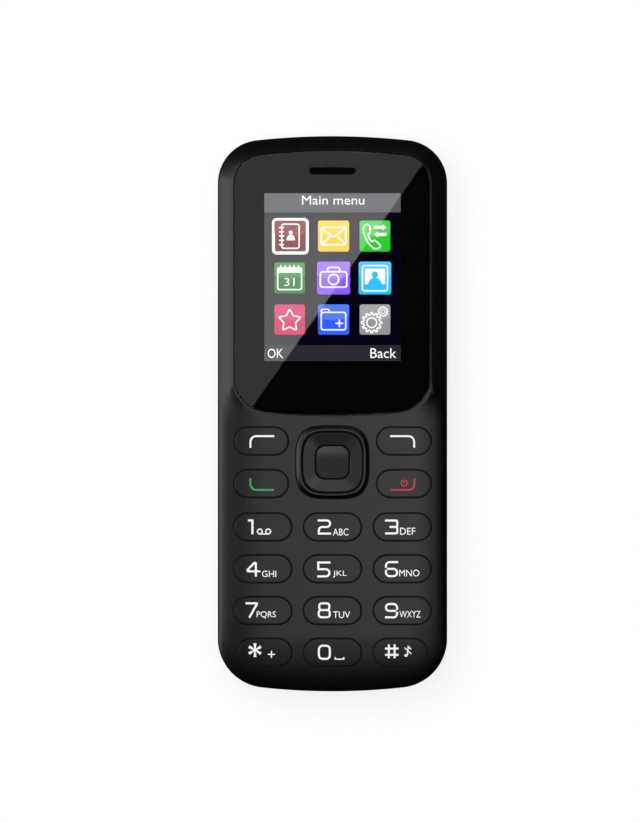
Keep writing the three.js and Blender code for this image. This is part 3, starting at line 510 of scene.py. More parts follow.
def add_node(material, kind, **values):
    node = material.node_tree.nodes.new(kind)
    for key, value in values.items():
        if key in node.inputs:
            node.inputs[key].default_value = value
        else:
            setattr(node, key, value)
    return node


def wire(material, source, socket, target, place):
    material.node_tree.links.new(source.outputs[socket], target.inputs[place])


def surface(name, color, roughness, grain=0.0, grain_size=0.2, variation=0.0, **values):
    """A principled surface whose roughness and height vary finely, as moulded plastic's do."""
    material = new_material(name)
    shader = add_node(material, "ShaderNodeBsdfPrincipled")
    shader.inputs["Base Color"].default_value = (*color, 1)
    shader.inputs["Roughness"].default_value = roughness
    for key, value in values.items():
        shader.inputs[key.replace("_", " ")].default_value = value
    output = add_node(material, "ShaderNodeOutputMaterial")
    wire(material, shader, "BSDF", output, "Surface")
    if not (grain or variation):
        return material
    place = add_node(material, "ShaderNodeTexCoord")
    noise = add_node(material, "ShaderNodeTexNoise", Scale=1 / (grain_size * MM), Detail=3.0)
    wire(material, place, "Object", noise, "Vector")
    if variation:
        spread = add_node(material, "ShaderNodeMapRange")
        spread.inputs["To Min"].default_value = roughness - variation
        spread.inputs["To Max"].default_value = roughness + variation
        wire(material, noise, "Fac", spread, "Value")
        wire(material, spread, "Result", shader, "Roughness")
    if grain:
        bump = add_node(material, "ShaderNodeBump", Strength=grain, Distance=grain_size * MM / 10)
        wire(material, noise, "Fac", bump, "Height")
        wire(material, bump, "Normal", shader, "Normal")
    return material


def linear(value):
    """A colour level of the photograph, 0 to 255, as a linear one."""
    value /= 255
    return value / 12.92 if value <= 0.04045 else ((value + 0.055) / 1.055) ** 2.4


def linear_color(red, green, blue):
    return (linear(red), linear(green), linear(blue))


# Light that the two surfaces of the lens let through, and the display's own surface under it
LENS_PASS = 0.92
DISPLAY_IOR = 2.7
DISPLAY_ROUGHNESS = 0.01


def lit(name, color):
    """A part of the display: it gives its own light, under a surface that reflects."""
    material = new_material(name)
    shader = add_node(material, "ShaderNodeBsdfPrincipled")
    shader.inputs["Base Color"].default_value = (0, 0, 0, 1)
    shader.inputs["Roughness"].default_value = DISPLAY_ROUGHNESS
    shader.inputs["IOR"].default_value = DISPLAY_IOR
    shader.inputs["Emission Color"].default_value = (*linear_color(*color), 1)
    shader.inputs["Emission Strength"].default_value = 1 / LENS_PASS
    output = add_node(material, "ShaderNodeOutputMaterial")
    wire(material, shader, "BSDF", output, "Surface")
    return material


BLACK = (0.0007, 0.0007, 0.0007)

casing = surface("casing_plastic", BLACK, 0.36, grain=0.15, variation=0.03)
key_plastic = surface("key_plastic", BLACK, 0.36, grain=0.1, variation=0.03)
cover_plastic = surface("cover_plastic", BLACK, 0.42, grain=0.35, grain_size=0.3, variation=0.04)
bezel_plastic = surface("bezel_plastic", BLACK, 0.33, variation=0.02)
gloss_plastic = surface(
    "gloss_plastic", (0.012, 0.012, 0.0124), 0.25, variation=0.02, Specular_IOR_Level=0.35
)
print_white = surface("print_white", (0.9, 0.9, 0.9), 0.5, variation=0.05)
print_grey = surface("print_grey", (0.35, 0.35, 0.35), 0.4, variation=0.05)
print_green = surface("print_green", linear_color(32, 146, 86), 0.5, variation=0.05)
print_red = surface("print_red", linear_color(170, 40, 52), 0.5, variation=0.05)
ink = surface("black_print", (0.0005, 0.0005, 0.0005), 0.6, variation=0.05, Specular_IOR_Level=0.05)
foam = surface("foam", (0.01, 0.01, 0.01), 0.9, grain=0.4, variation=0.05)
clear_plastic = surface("clear_plastic", (1, 1, 1), 0.0, Transmission_Weight=1.0, IOR=1.49)
steel = surface("steel", (0.45, 0.45, 0.46), 0.35, grain=0.1, variation=0.08, Metallic=1.0)
tinned = surface("tinned_sheet", (0.6, 0.6, 0.61), 0.4, grain=0.1, variation=0.1, Metallic=1.0)
gold = surface("contact_metal", (0.75, 0.55, 0.25), 0.3, variation=0.05, Metallic=1.0)
mesh_cloth = surface("earpiece_mesh", (0.001, 0.001, 0.001), 0.8, variation=0.05, Specular_IOR_Level=0.05)
dark_glass = surface("display_glass", (0.002, 0.002, 0.003), 0.05, variation=0.01)
polyimide = surface("polyimide", (0.5, 0.3, 0.1), 0.35, variation=0.05)
inner_plastic = surface("inner_plastic", (0.03, 0.03, 0.032), 0.5, grain=0.2, variation=0.05)
silicone = surface("silicone", (0.03, 0.03, 0.03), 0.75, grain=0.2, variation=0.05)
board = surface("board", (0.02, 0.14, 0.05), 0.35, grain=0.1, variation=0.08)
battery_wrap = surface("battery_wrap", (0.35, 0.36, 0.38), 0.35, grain=0.05, variation=0.05)
window_glass = surface("window_glass", (0.01, 0.01, 0.012), 0.04, variation=0.01)

SLOT_MATERIALS = {
    "casing": casing,
    "cover": cover_plastic,
    "key": key_plastic,
    "gloss_key": gloss_plastic,
    "lens": clear_plastic,
    "ink": ink,
    "foam": foam,
    "mesh": mesh_cloth,
    "steel": steel,
    "tinned": tinned,
    "contact_metal": gold,
    "display": dark_glass,
    "polyimide": polyimide,
    "inner_plastic": inner_plastic,
    "silicone": silicone,
    "board": board,
    "battery_wrap": battery_wrap,
    "window": window_glass,
}


def dress_nodes():
    """Every node that stays gets the material of its slot."""
    slots = {part["node"]: part["material_slot"] for part in frame["record"]["subparts"]}
    for name, node in frame["nodes"].items():
        node.data.materials.clear()
        node.data.materials.append(SLOT_MATERIALS[slots[name]])


def settle(piece, body, slot, *nodes):
    """Puts a piece on its body, and in the place of the nodes that it stands for."""
    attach(piece, body)
    if nodes:
        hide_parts(*nodes)


# Front cover


def body_rings(shell):
    """Loops from the cover's edge over its rounded rim and down the flank of its face."""
    rings = []
    corner = FACE_Z - ROLL_HEIGHT
    for step in range(EDGE_STEPS + 1):
        share = step / EDGE_STEPS

        def height(x, y, share=share):
            end = FACE_Z - face_fall(x, y, EDGE_REACH)
            start = corner - EDGE_DROP
            return mix(mix(start, corner, share), mix(corner, end, share), share)

        rings.append(shell.loop(BODY.outline(EDGE_REACH * share ** 2), height))
    shell.follow(rings[-1], face_z)
    for depth in RING_DEPTHS:
        rings.append(shell.loop(BODY.outline(depth), lambda x, y, d=depth: FACE_Z - face_fall(x, y, d)))
        shell.follow(rings[-1], face_z)
    return rings


def edge_rings(shell, shape, radius, height, steps=3):
    """Loops round a hole, from the surface over its rounded edge to its wall."""
    rings = []
    for step in range(steps + 1):
        angle = math.pi / 2 * step / steps
        out = radius * (1 - math.sin(angle))
        drop = radius * (1 - math.cos(angle))
        rings.append(shell.loop(shape.outline(-out), lambda x, y, d=drop: height(x, y) - d))
    return rings


def front_cover():
    shell = Shell()
    rings = body_rings(shell)
    recess = LENS.drawn_in(RECESS_INSET)
    holes = []
    for node in ROUND_KEYS:
        key = key_shape(node)
        hole_width = 2 * (key.reach + key.radius + KEY_FIT)
        hole_height = 2 * (key.radius + KEY_FIT)
        holes.append(Stadium(hole_width, hole_height, key.x, key.y))
    holes.append(SoftSquare(NAV_HOLE / 2))
    edges = [edge_rings(shell, shape, HOLE_EDGE, face_z) for shape in holes]
    edges.append([
        shell.loop(recess.outline(-RECESS_SLOPE), face_z),
        shell.loop(recess.outline(0), lambda x, y: face_z(x, y) - RECESS_DROP),
    ])
    reaches = [(shape, HOLE_EDGE) for shape in holes] + [(recess, RECESS_SLOPE)]

    def on_face(x, y, margin=0.0):
        if BODY.depth(x, y) < RING_DEPTHS[-1] + margin:
            return False
        return all(shape.depth(x, y) < -reach - margin for shape, reach in reaches)

    low = (-HALF_WIDTH, BOTTOM_Y)
    loose = grid_points(shell, low, (HALF_WIDTH, TOP_Y), face_z, lambda x, y: on_face(x, y, GRID / 2))
    for row in RECESS_ROWS:
        places = recess.outline(-RECESS_SLOPE - row)
        loose += shell.loop([p for p in places if on_face(*p, row / 2)], face_z)
    for inner, outer in zip(rings, rings[1:]):
        shell.strip(inner, outer)
    shell.sheet([rings[-1]] + [ring[0] for ring in edges], on_face, loose, height=face_z)
    for hole_rings in edges:
        shell.tower(list(reversed(hole_rings)))

    # Hole walls, the ledge under the lens, and the inside
    ceiling = []
    for shape, hole_rings in zip(holes, edges):
        foot = shell.loop(shape.outline(0), ROOF_Z)
        shell.strip(hole_rings[-1], foot)
        ceiling.append((shape, foot))
    ledge = shell.loop(recess.outline(0), LEDGE_Z)
    shell.strip(edges[-1][-1], ledge)
    well = RoundBox(
        FRAME_LOW.x - FIT, FRAME_HIGH.x + FIT, FRAME_LOW.y - FIT, FRAME_HIGH.y + FIT, WELL_CORNER
    )
    ear_height = EAR_SLOT_HEIGHT + 2 * EAR_MARGIN
    ear = Stadium(EAR_SLOT_WIDTH + 2 * EAR_MARGIN + 2 * FIT, ear_height + 2 * FIT, 0, EAR_Y)
    well_top = []
    for shape in (well, ear):
        high = shell.loop(shape.outline(0), LEDGE_Z)
        foot = shell.loop(shape.outline(0), ROOF_Z)
        shell.strip(high, foot)
        well_top.append(high)
        ceiling.append((shape, foot))
    shell.sheet(
        [ledge] + well_top,
        lambda x, y: recess.depth(x, y) > 0 and well.depth(x, y) < 0 and ear.depth(x, y) < 0,
    )
    inner = shell.loop(BODY.outline(WALL), ROOF_Z)
    inner_foot = shell.loop(BODY.outline(WALL), SEAM_Z)
    outer_foot = shell.loop(BODY.outline(0), SEAM_Z)
    shell.sheet(
        [inner] + [foot for shape, foot in ceiling],
        lambda x, y: BODY.depth(x, y) > WALL and all(s.depth(x, y) < 0 for s, foot in ceiling),
        up=False,
    )
    shell.strip(inner, inner_foot)
    shell.strip(inner_foot, outer_foot)
    shell.strip(outer_foot, rings[0])
    return shell


def build_front_cover():
    piece = add_object("front_cover_shell", front_cover(), casing)
    settle(piece, "root", "casing", "front_cover")


# Keys


def key_solid(shape, base_z, top, edge):
    """A key with its flange, and a top whose edge is rounded."""
    shell = Shell()
    spread = KEY_FIT + KEY_FLANGE
    flange_top = base_z + KEY_FLANGE_THICKNESS
    loops = [
        shell.loop(shape.outline(-spread), base_z),
        shell.loop(shape.outline(-spread), flange_top),
        shell.loop(shape.outline(0), flange_top),
    ]
    loops += shell.rounded_edge(shape, edge, top, TOP_EDGE_STEPS)
    shell.cap(loops[0], up=False)
    shell.tower(loops)

    def keep(x, y):
        return shape.depth(x, y) > edge + GRID / 3

    reach = shape.reach + shape.radius
    low = (shape.x - reach, shape.y - shape.radius)
    high = (shape.x + reach, shape.y + shape.radius)
    loose = grid_points(shell, low, high, top, keep)
    shell.sheet([loops[-1]], lambda x, y: shape.depth(x, y) > edge * NEARLY, loose, height=top)
    return shell


def build_round_keys():
    for node in ROUND_KEYS:
        shell = key_solid(key_shape(node), box(node)[0].z, key_z, KEY_EDGE)
        settle(add_object(f"{node}_cap", shell, key_plastic), node, "key", node)


# Lens and its printed border


def plate(outer, holes, low, high, edge=0.0):
    """A flat plate between two heights, with holes and a softened upper edge."""
    shell = Shell()
    ring = shell.loop(outer.outline(0), low)
    if edge:
        walls = [ring] + shell.rounded_edge(outer, edge, lambda x, y: high, TOP_EDGE_STEPS)
    else:
        walls = [ring, shell.loop(outer.outline(0), high)]
    shell.tower(walls)
    low_holes = [shell.loop(hole.outline(0), low) for hole in holes]
    high_holes = [shell.loop(hole.outline(0), high) for hole in holes]
    for low_hole, high_hole in zip(low_holes, high_holes):
        shell.strip(high_hole, low_hole)

    def inside(x, y, inset=0.0):
        return outer.depth(x, y) > inset and all(hole.depth(x, y) < 0 for hole in holes)

    shell.sheet([ring] + low_holes, inside, up=False)
    shell.sheet([walls[-1]] + high_holes, lambda x, y: inside(x, y, edge * NEARLY), height=lambda x, y: high)
    return shell


EAR_SLOT = Stadium(EAR_SLOT_WIDTH, EAR_SLOT_HEIGHT, 0, EAR_Y)
SCREEN = RoundBox(-SCREEN_HALF, SCREEN_HALF, SCREEN_BOTTOM, SCREEN_TOP, 0)


def build_lens():
    shell = plate(LENS.drawn_in(LENS_INSET), [EAR_SLOT], LENS_LOW.z, LENS_HIGH.z, LENS_BEVEL)
    settle(add_object("lens_plate", shell, clear_plastic), "root", "lens", "display_lens")
    low, high = box("lens_ink_mask")
    shell = plate(LENS.drawn_in(LENS_INSET + INK_INSET), [SCREEN, EAR_SLOT], low.z, high.z)
    settle(add_object("lens_border_print", shell, ink), "root", "ink", "lens_ink_mask")


# Flat and printed figures: filled outlines and strokes


def rounded(points, radii, closed=False, steps=6):
    """A polyline whose corners are turned into arcs; radii is one radius or one for each point."""
    count = len(points)
    if not isinstance(radii, (list, tuple)):
        radii = [radii] * count
    result = []
    for i, point in enumerate(points):
        is_end = not closed and i in (0, count - 1)
        if is_end or radii[i] == 0:
            result.append(point)
            continue
        here = Vector(point)
        back = Vector(points[i - 1]) - here
        ahead = Vector(points[(i + 1) % count]) - here
        half = back.angle(ahead) / 2
        reach = min(radii[i] / math.tan(half), back.length / 2, ahead.length / 2)
        radius = reach * math.tan(half)
        middle = here + (back.normalized() + ahead.normalized()).normalized() * (radius / math.sin(half))
        start = here + back.normalized() * reach - middle
        end = here + ahead.normalized() * reach - middle
        turn = end.angle_signed(start)
        for step in range(steps + 1):
            angle = turn * step / steps
            cos, sin = math.cos(angle), math.sin(angle)
            place = middle + Vector((start.x * cos - start.y * sin, start.x * sin + start.y * cos))
            result.append((place.x, place.y))
    return result


def resampled(points, closed, longest):
    """The same line with extra points, so that no stretch is longer than a length."""
    result = []
    count = len(points)
    for i in range(count if closed else count - 1):
        a, b = points[i], points[(i + 1) % count]
        steps = max(1, math.ceil(math.dist(a, b) / longest))
        result += [(mix(a[0], b[0], s / steps), mix(a[1], b[1], s / steps)) for s in range(steps)]
    if not closed:
        result.append(points[-1])
    return result


FIGURE_STEP = 0.003
MITRE_LEAST = 0.35
NEAR = 1e-4


class Print:
    """Thin figures on a surface: a shell whose top follows the surface's height."""

    def __init__(self, height, rise, thickness, longest=0.35):
        self.height = height
        self.rise = rise
        self.thickness = thickness
        self.longest = longest
        self.shell = Shell()

    def top(self, x, y):
        base = self.height(x, y) if callable(self.height) else self.height
        return base + self.rise

    def close(self, first_face):
        """Gives the faces from the first one on a thickness downwards."""
        faces = self.shell.faces[first_face:]
        below = {}
        for face in faces:
            for i in face:
                if i not in below:
                    x, y, z = self.shell.points[i]
                    below[i] = len(self.shell.points)
                    self.shell.points.append((x, y, z - self.thickness))
        edges = {}
        for face in faces:
            self.shell.faces.append(tuple(below[i] for i in reversed(face)))
            for a, b in zip(face, face[1:] + face[:1]):
                edges[(a, b)] = True
        for a, b in edges:
            if (b, a) not in edges:
                self.shell.faces.append((b, a, below[a], below[b]))
        # Figures that cross would lie in one plane, so each lies a little higher than the last
        self.rise += FIGURE_STEP

    def stroke(self, points, width, closed=False):
        """A line of one width, mitred at its corners."""
        points = resampled(points, closed, self.longest)
        points = [p for i, p in enumerate(points) if i == 0 or math.dist(p, points[i - 1]) > NEAR]
        count = len(points)
        sides = ([], [])
        for i in range(count):
            here = Vector(points[i])
            before = Vector(points[i - 1]) if closed or i > 0 else None
            after = Vector(points[(i + 1) % count]) if closed or i < count - 1 else None
            normals = []
            for a, b in ((before, here), (here, after)):
                if a is not None and b is not None:
                    along = (b - a).normalized()
                    normals.append(Vector((-along.y, along.x)))
            across = sum(normals, Vector((0, 0))).normalized()
            across *= width / 2 / max(MITRE_LEAST, across.dot(normals[0]))
            sides[0].append(here + across)
            sides[1].append(here - across)
        first = len(self.shell.faces)
        left = self.shell.loop([(p.x, p.y) for p in sides[0]], self.top)
        right = self.shell.loop([(p.x, p.y) for p in sides[1]], self.top)
        for i in range(count if closed else count - 1):
            j = (i + 1) % count
            self.shell.faces.append((left[i], right[i], right[j], left[j]))
        self.close(first)

    def fill(self, outlines, inside):
        """A filled figure bounded by outlines."""
        first = len(self.shell.faces)
        loops = [self.shell.loop(resampled(outline, True, self.longest), self.top) for outline in outlines]
        self.shell.sheet(loops, inside)
        self.close(first)

    def disc(self, x, y, radius):
        self.polygon([
            (x + radius * math.cos(TAU * i / 24), y + radius * math.sin(TAU * i / 24)) for i in range(24)
        ])

    def polygon(self, outline):
        """A filled figure with one outline, either way round."""
        area = sum(a[0] * b[1] - b[0] * a[1] for a, b in zip(outline, outline[1:] + outline[:1]))
        outline = outline if area > 0 else outline[::-1]
        self.fill([outline], lambda x, y: contains(outline, x, y))

    def text(self, words, low, high):
        """Letters fitted into a box from its lowest to its highest corner."""
        curve = bpy.data.curves.new("words", "FONT")
        curve.body = words
        curve.resolution_u = 3
        holder = bpy.data.objects.new("words", curve)
        bpy.context.scene.collection.objects.link(holder)
        depsgraph = bpy.context.evaluated_depsgraph_get()
        mesh = bpy.data.meshes.new_from_object(holder.evaluated_get(depsgraph))
        bpy.data.objects.remove(holder)
        bpy.data.curves.remove(curve)
        form = bmesh.new()
        form.from_mesh(mesh)
        bpy.data.meshes.remove(mesh)
        bmesh.ops.remove_doubles(form, verts=form.verts, dist=1e-5)
        xs = [v.co.x for v in form.verts]
        ys = [v.co.y for v in form.verts]
        scale_x = (high[0] - low[0]) / (max(xs) - min(xs))
        scale_y = (high[1] - low[1]) / (max(ys) - min(ys))
        left, foot = min(xs), min(ys)
        for vertex in form.verts:
            x = low[0] + (vertex.co.x - left) * scale_x
            y = low[1] + (vertex.co.y - foot) * scale_y
            vertex.co = (x, y, 0)
        bmesh.ops.triangulate(form, faces=form.faces)
        for _ in range(3):
            long_edges = [edge for edge in form.edges if edge.calc_length() > 2 * self.longest]
            if not long_edges:
                break
            bmesh.ops.subdivide_edges(form, edges=long_edges, cuts=1)
            bmesh.ops.triangulate(form, faces=form.faces)
        form.normal_update()
        form.verts.index_update()
        first = len(self.shell.faces)
        spots = self.shell.loop([(v.co.x, v.co.y) for v in form.verts], self.top)
        for face in form.faces:
            corners = [spots[v.index] for v in face.verts]
            if face.normal.z < 0:
                corners.reverse()
            self.shell.faces.append(tuple(corners))
        form.free()
        self.close(first)


def contains(outline, x, y):
    """Whether a place lies inside an outline."""
    inside = False
    for (x0, y0), (x1, y1) in zip(outline, outline[1:] + outline[:1]):
        if (y0 > y) != (y1 > y) and x < x0 + (y - y0) * (x1 - x0) / (y1 - y0):
            inside = not inside
    return inside


# Legends on the keys. Boxes and lines are named by pixels of the photograph: left, upper, right, lower

DIGIT_STROKE = 0.42
LETTER_RISE = 0.02
PRINT_DEPTH = 0.03
SMALL_STROKE = 0.26
CORNER = 0.75
SMALL_CORNER = 0.35

# Middle lines of the digits, as shares of the box that they fill, and the rounding of each corner
DIGIT_SHARES = {
    "0": [("loop", [(0, 0), (1, 0), (1, 1), (0, 1)], CORNER)],
    "1": [("line", [(0, 1), (1, 1), (1, 0)], 0)],
    "2": [("line", [(0, 1), (1, 1), (1, 0.5), (0, 0.5), (0, 0), (1, 0)], (0, CORNER, CORNER, CORNER, 0, 0))],
    "3": [
        ("line", [(0, 1), (1, 1), (1, 0.5), (0.4, 0.5)], SMALL_CORNER),
        ("line", [(0.4, 0.5), (1, 0.5), (1, 0), (0, 0)], SMALL_CORNER),
    ],
    "4": [("line", [(0.74, 0), (0.74, 1), (0, 0.3), (1, 0.3)], 0.2)],
    "5": [("line", [(1, 1), (0, 1), (0, 0.52), (1, 0.52), (1, 0), (0, 0)], (0, 0, 0, CORNER, CORNER, 0))],
    "6": [("line", [(1, 1), (0, 1), (0, 0), (1, 0), (1, 0.52), (0, 0.52)], CORNER)],
    "7": [("line", [(0, 1), (1, 1), (0.3, 0)], 0.1)],
    "8": [
        ("loop", [(0.04, 0.52), (0.96, 0.52), (0.96, 1), (0.04, 1)], 0.5),
        ("loop", [(0, 0), (1, 0), (1, 0.52), (0, 0.52)], 0.5),
    ],
    "9": [("line", [(0, 0), (1, 0), (1, 1), (0, 1), (0, 0.48), (1, 0.48)], CORNER)],
    "#": [
        ("line", [(0.24, 0), (0.24, 1)], 0),
        ("line", [(0.74, 0), (0.74, 1)], 0),
        ("line", [(0, 0.73), (1, 0.73)], 0),
        ("line", [(0, 0.2), (1, 0.2)], 0),
    ],
}

KEY_DIGITS_PX = {
    "key_1": ("1", (248.3, 519, 253.7, 533.7)),
    "key_2": ("2", (317.8, 519, 331, 534.1)),
    "key_3": ("3", (384.8, 519.1, 398, 533.9)),
    "key_4": ("4", (245.3, 559.8, 260.6, 575.9)),
    "key_5": ("5", (317.3, 560.9, 330.4, 576.7)),
    "key_6": ("6", (384.7, 560.5, 397.8, 576.5)),
    "key_7": ("7", (245.8, 601.5, 258.6, 617)),
    "key_8": ("8", (317.8, 601.6, 330.7, 617.4)),
    "key_9": ("9", (384.7, 602.2, 397.8, 617.5)),
    "key_0": ("0", (317.9, 643.8, 330.8, 658.9)),
    "key_hash": ("#", (384.8, 643.4, 398.3, 657.3)),
}

KEY_LETTERS_PX = {
    "key_2": ("ABC", (332.8, 528, 348.4, 535)),
    "key_3": ("DEF", (399.7, 527.3, 415, 534.2)),
    "key_4": ("GHI", (262.2, 570, 276.4, 576.4)),
    "key_5": ("JKL", (332.8, 570, 346.6, 576.8)),
    "key_6": ("MNO", (398.9, 569, 419, 575.8)),
    "key_7": ("PQRS", (256.9, 610.5, 276, 617.6)),
    "key_8": ("TUV", (333, 610.6, 350, 617.3)),
    "key_9": ("WXYZ", (399.2, 610.1, 420.2, 616.8)),
}


def px_box(left, upper, right, lower):
    """The lowest and highest corner of a box given in pixels."""
    x0, y0 = from_px(left, lower)
    x1, y1 = from_px(right, upper)
    return (x0, y0), (x1, y1)


def px_points(points):
    return [from_px(x, y) for x, y in points]


def draw_digit(figure, digit, pixels):
    low, high = px_box(*pixels)
    half = DIGIT_STROKE / 2
    for kind, shares, corner in DIGIT_SHARES[digit]:
        # A hash's bars and a digit's loose ends reach the edge of the box, their sides stay inside it
        points = [
            (mix(low[0] + half, high[0] - half, x), mix(low[1] + half, high[1] - half, y))
            for x, y in shares
        ]
        closed = kind == "loop"
        if not closed:
            points = [extended(points, 0, half)] + points[1:-1] + [extended(points, -1, half)]
        figure.stroke(rounded(points, corner, closed), DIGIT_STROKE, closed)


def extended(points, end, reach):
    """An end point of a line, carried on by a reach."""
    tip = Vector(points[end])
    before = Vector(points[1 if end == 0 else -2])
    place = tip + (tip - before).normalized() * reach
    return (place.x, place.y)


def circle_points(x, y, radius, steps=24):
    turns = [TAU * i / steps for i in range(steps)]
    return [(x + radius * math.cos(turn), y + radius * math.sin(turn)) for turn in turns]


VOICEMAIL_X_PX = (260.1, 268.4)
VOICEMAIL_Y_PX = 531
VOICEMAIL_FOOT_PX = 533.5
VOICEMAIL_RADIUS_PX = 2.4


def draw_voicemail(figure):
    for x in VOICEMAIL_X_PX:
        middle = from_px(x, VOICEMAIL_Y_PX)
        figure.stroke(circle_points(*middle, VOICEMAIL_RADIUS_PX * MM_PER_PX), SMALL_STROKE, closed=True)
    figure.stroke(px_points([(x, VOICEMAIL_FOOT_PX) for x in VOICEMAIL_X_PX]), SMALL_STROKE)


STAR_PX = (255.2, 649.2)
STAR_REACH_PX = 6.9
STAR_HALF_PX = (0.5, 1.55)
PLUS_PX = (271.6, 653.4)
PLUS_REACH_PX = 3.5


def draw_star(figure):
    for arm in range(6):
        turn = math.pi / 2 + arm * TAU / 6
        along = Vector((math.cos(turn), math.sin(turn)))
        across = Vector((-along.y, along.x))
        corners = []
        for reach, half in ((0, STAR_HALF_PX[0]), (STAR_REACH_PX, STAR_HALF_PX[1])):
            for side in (-1, 1):
                corners.append((along * reach + across * side * half) * MM_PER_PX)
        order = [corners[0], corners[2], corners[3], corners[1]]
        middle = from_px(*STAR_PX)
        figure.polygon([(middle[0] + c.x, middle[1] + c.y) for c in order])
    x, y = PLUS_PX
    for reach_x, reach_y in ((PLUS_REACH_PX, 0), (0, PLUS_REACH_PX)):
        figure.stroke(px_points([(x - reach_x, y - reach_y), (x + reach_x, y + reach_y)]), SMALL_STROKE)


SPACE_PX = [(335.2, 656.2), (335.2, 658.2), (343.6, 658.2), (343.6, 656.2)]


def draw_space(figure):
    figure.stroke(px_points(SPACE_PX), SMALL_STROKE)


NOTE_HEAD_PX = (405.6, 654.5)
NOTE_HEAD_HALF = (0.36, 0.28)
NOTE_HEAD_STEPS = 20
NOTE_STEM_PX = [(407, 654.4), (408, 645.6), (410.6, 648.4)]
NOTE_BAR_PX = [(404.3, 646.8), (410.9, 653)]
NOTE_BAR_SHARE = 0.8


def draw_note(figure):
    x, y = from_px(*NOTE_HEAD_PX)
    half_x, half_y = NOTE_HEAD_HALF
    figure.polygon([(x + half_x * u, y + half_y * v) for u, v in circle_points(0, 0, 1, NOTE_HEAD_STEPS)])
    figure.stroke(px_points(NOTE_STEM_PX), SMALL_STROKE)
    figure.stroke(px_points(NOTE_BAR_PX), SMALL_STROKE * NOTE_BAR_SHARE)


def legend(node, name, material, draw):
    figure = Print(key_z, LETTER_RISE, PRINT_DEPTH)
    draw(figure)
    piece = add_object(name, figure.shell, material)
    settle(piece, node, "key")


def build_digit_legends():
    extra = {
        "key_1": draw_voicemail,
        "key_0": draw_space,
        "key_hash": draw_note,
    }
    for node, (digit, pixels) in KEY_DIGITS_PX.items():

        def draw(figure, node=node, digit=digit, pixels=pixels):
            draw_digit(figure, digit, pixels)
            if node in KEY_LETTERS_PX:
                letters, letters_px = KEY_LETTERS_PX[node]
                figure.text(letters, *px_box(*letters_px))
            if node in extra:
                extra[node](figure)

        legend(node, f"{node}_legend", print_white, draw)
    legend("key_star", "key_star_legend", print_white, draw_star)


UPPER_STROKE = 0.39
UPPER_CORNER = 1.9
UPPER_LINES_PX = {
    "soft_key_left": [(250.7, 447.6), (250.7, 436), (274.4, 436)],
    "soft_key_right": [(390, 436), (413.8, 436), (413.8, 447.6)],
    "call_key": [(250.6, 478), (250.6, 489.6), (274.2, 489.6)],
    "end_key": [(390.3, 489.6), (414.1, 489.6), (414.1, 478)],
}
POWER_PX = (403.9, 482.6)
POWER_RADIUS = 0.62
POWER_GAP = math.radians(35)
POWER_BAR = 0.1
POWER_STEPS = 24


def draw_power(figure):
    x, y = from_px(*POWER_PX)
    start = math.pi / 2 + POWER_GAP
    sweep = TAU - 2 * POWER_GAP
    turns = [start + sweep * i / POWER_STEPS for i in range(POWER_STEPS + 1)]
    ring = [(x + POWER_RADIUS * math.cos(t), y + POWER_RADIUS * math.sin(t)) for t in turns]
    figure.stroke(ring, SMALL_STROKE)
    figure.stroke([(x, y - POWER_BAR), (x, y + POWER_RADIUS + POWER_BAR)], SMALL_STROKE)


def build_upper_legends():
    looks = {"call_key": print_green, "end_key": print_red}
    for node, line in UPPER_LINES_PX.items():

        def draw(figure, node=node, line=line):
            figure.stroke(rounded(px_points(line), UPPER_CORNER), UPPER_STROKE)
            if node == "end_key":
                draw_power(figure)

        legend(node, f"{node}_legend", looks.get(node, print_white), draw)


# The display. What it shows lies in thin layers just over the panel's glass

SCREEN_RISE = 0.01
SCREEN_Z = box("lcd_panel")[1].z + SCREEN_RISE
LAYER = 0.012
SCREEN_MARGIN = 0.25
TITLE_BAR_PX = 212.9
SOFT_BAR_PX = 345.3
TILE_CORNER = 0.5
GLYPH_STROKE_SHARE = 0.09
TILE_ROWS_PX = ((221.1, 252), (262.9, 293.8), (304.7, 334.9))
TILE_COLUMNS_PX = ((274.5, 305), (318, 349.1), (359.5, 390.1))
FRAME_PX = (272.1, 218.5, 308.8, 254.9)
FRAME_LINE = 0.62
FRAME_CORNER = 1.0
LARGE_TILE_GROWTH_PX = 0.9

TILE_COLORS = (
    ("contacts", (125, 20, 26)),
    ("messages", (255, 203, 40)),
    ("calls", (45, 200, 48)),
    ("calendar", (35, 128, 40)),
    ("camera", (140, 92, 250)),
    ("pictures", (48, 192, 255)),
    ("favourites", (208, 30, 85)),
    ("folder", (48, 96, 255)),
    ("settings", (148, 148, 150)),
)
GLOSS_SHARE = 0.17
GLOSS_EDGE_SHARE = 0.16
GLOSS_BOW_SHARE = 0.22
GLOSS_STEPS = 16
SCREEN_WORDS_PX = {
    "Main menu": (302, 196.2, 364.2, 205.2),
    "OK": (267.8, 348.8, 283.3, 358.2),
    "Back": (370.2, 348.4, 396.2, 358.2),
}


def screen_layer(name, level, material, draw):
    figure = Print(SCREEN_Z + level * LAYER, 0, LAYER / 2, longest=50)
    draw(figure)
    settle(add_object(name, figure.shell, material, smooth_angle=0), "root", "display")


def rectangle(low, high):
    return [low, (high[0], low[1]), high, (low[0], high[1])]


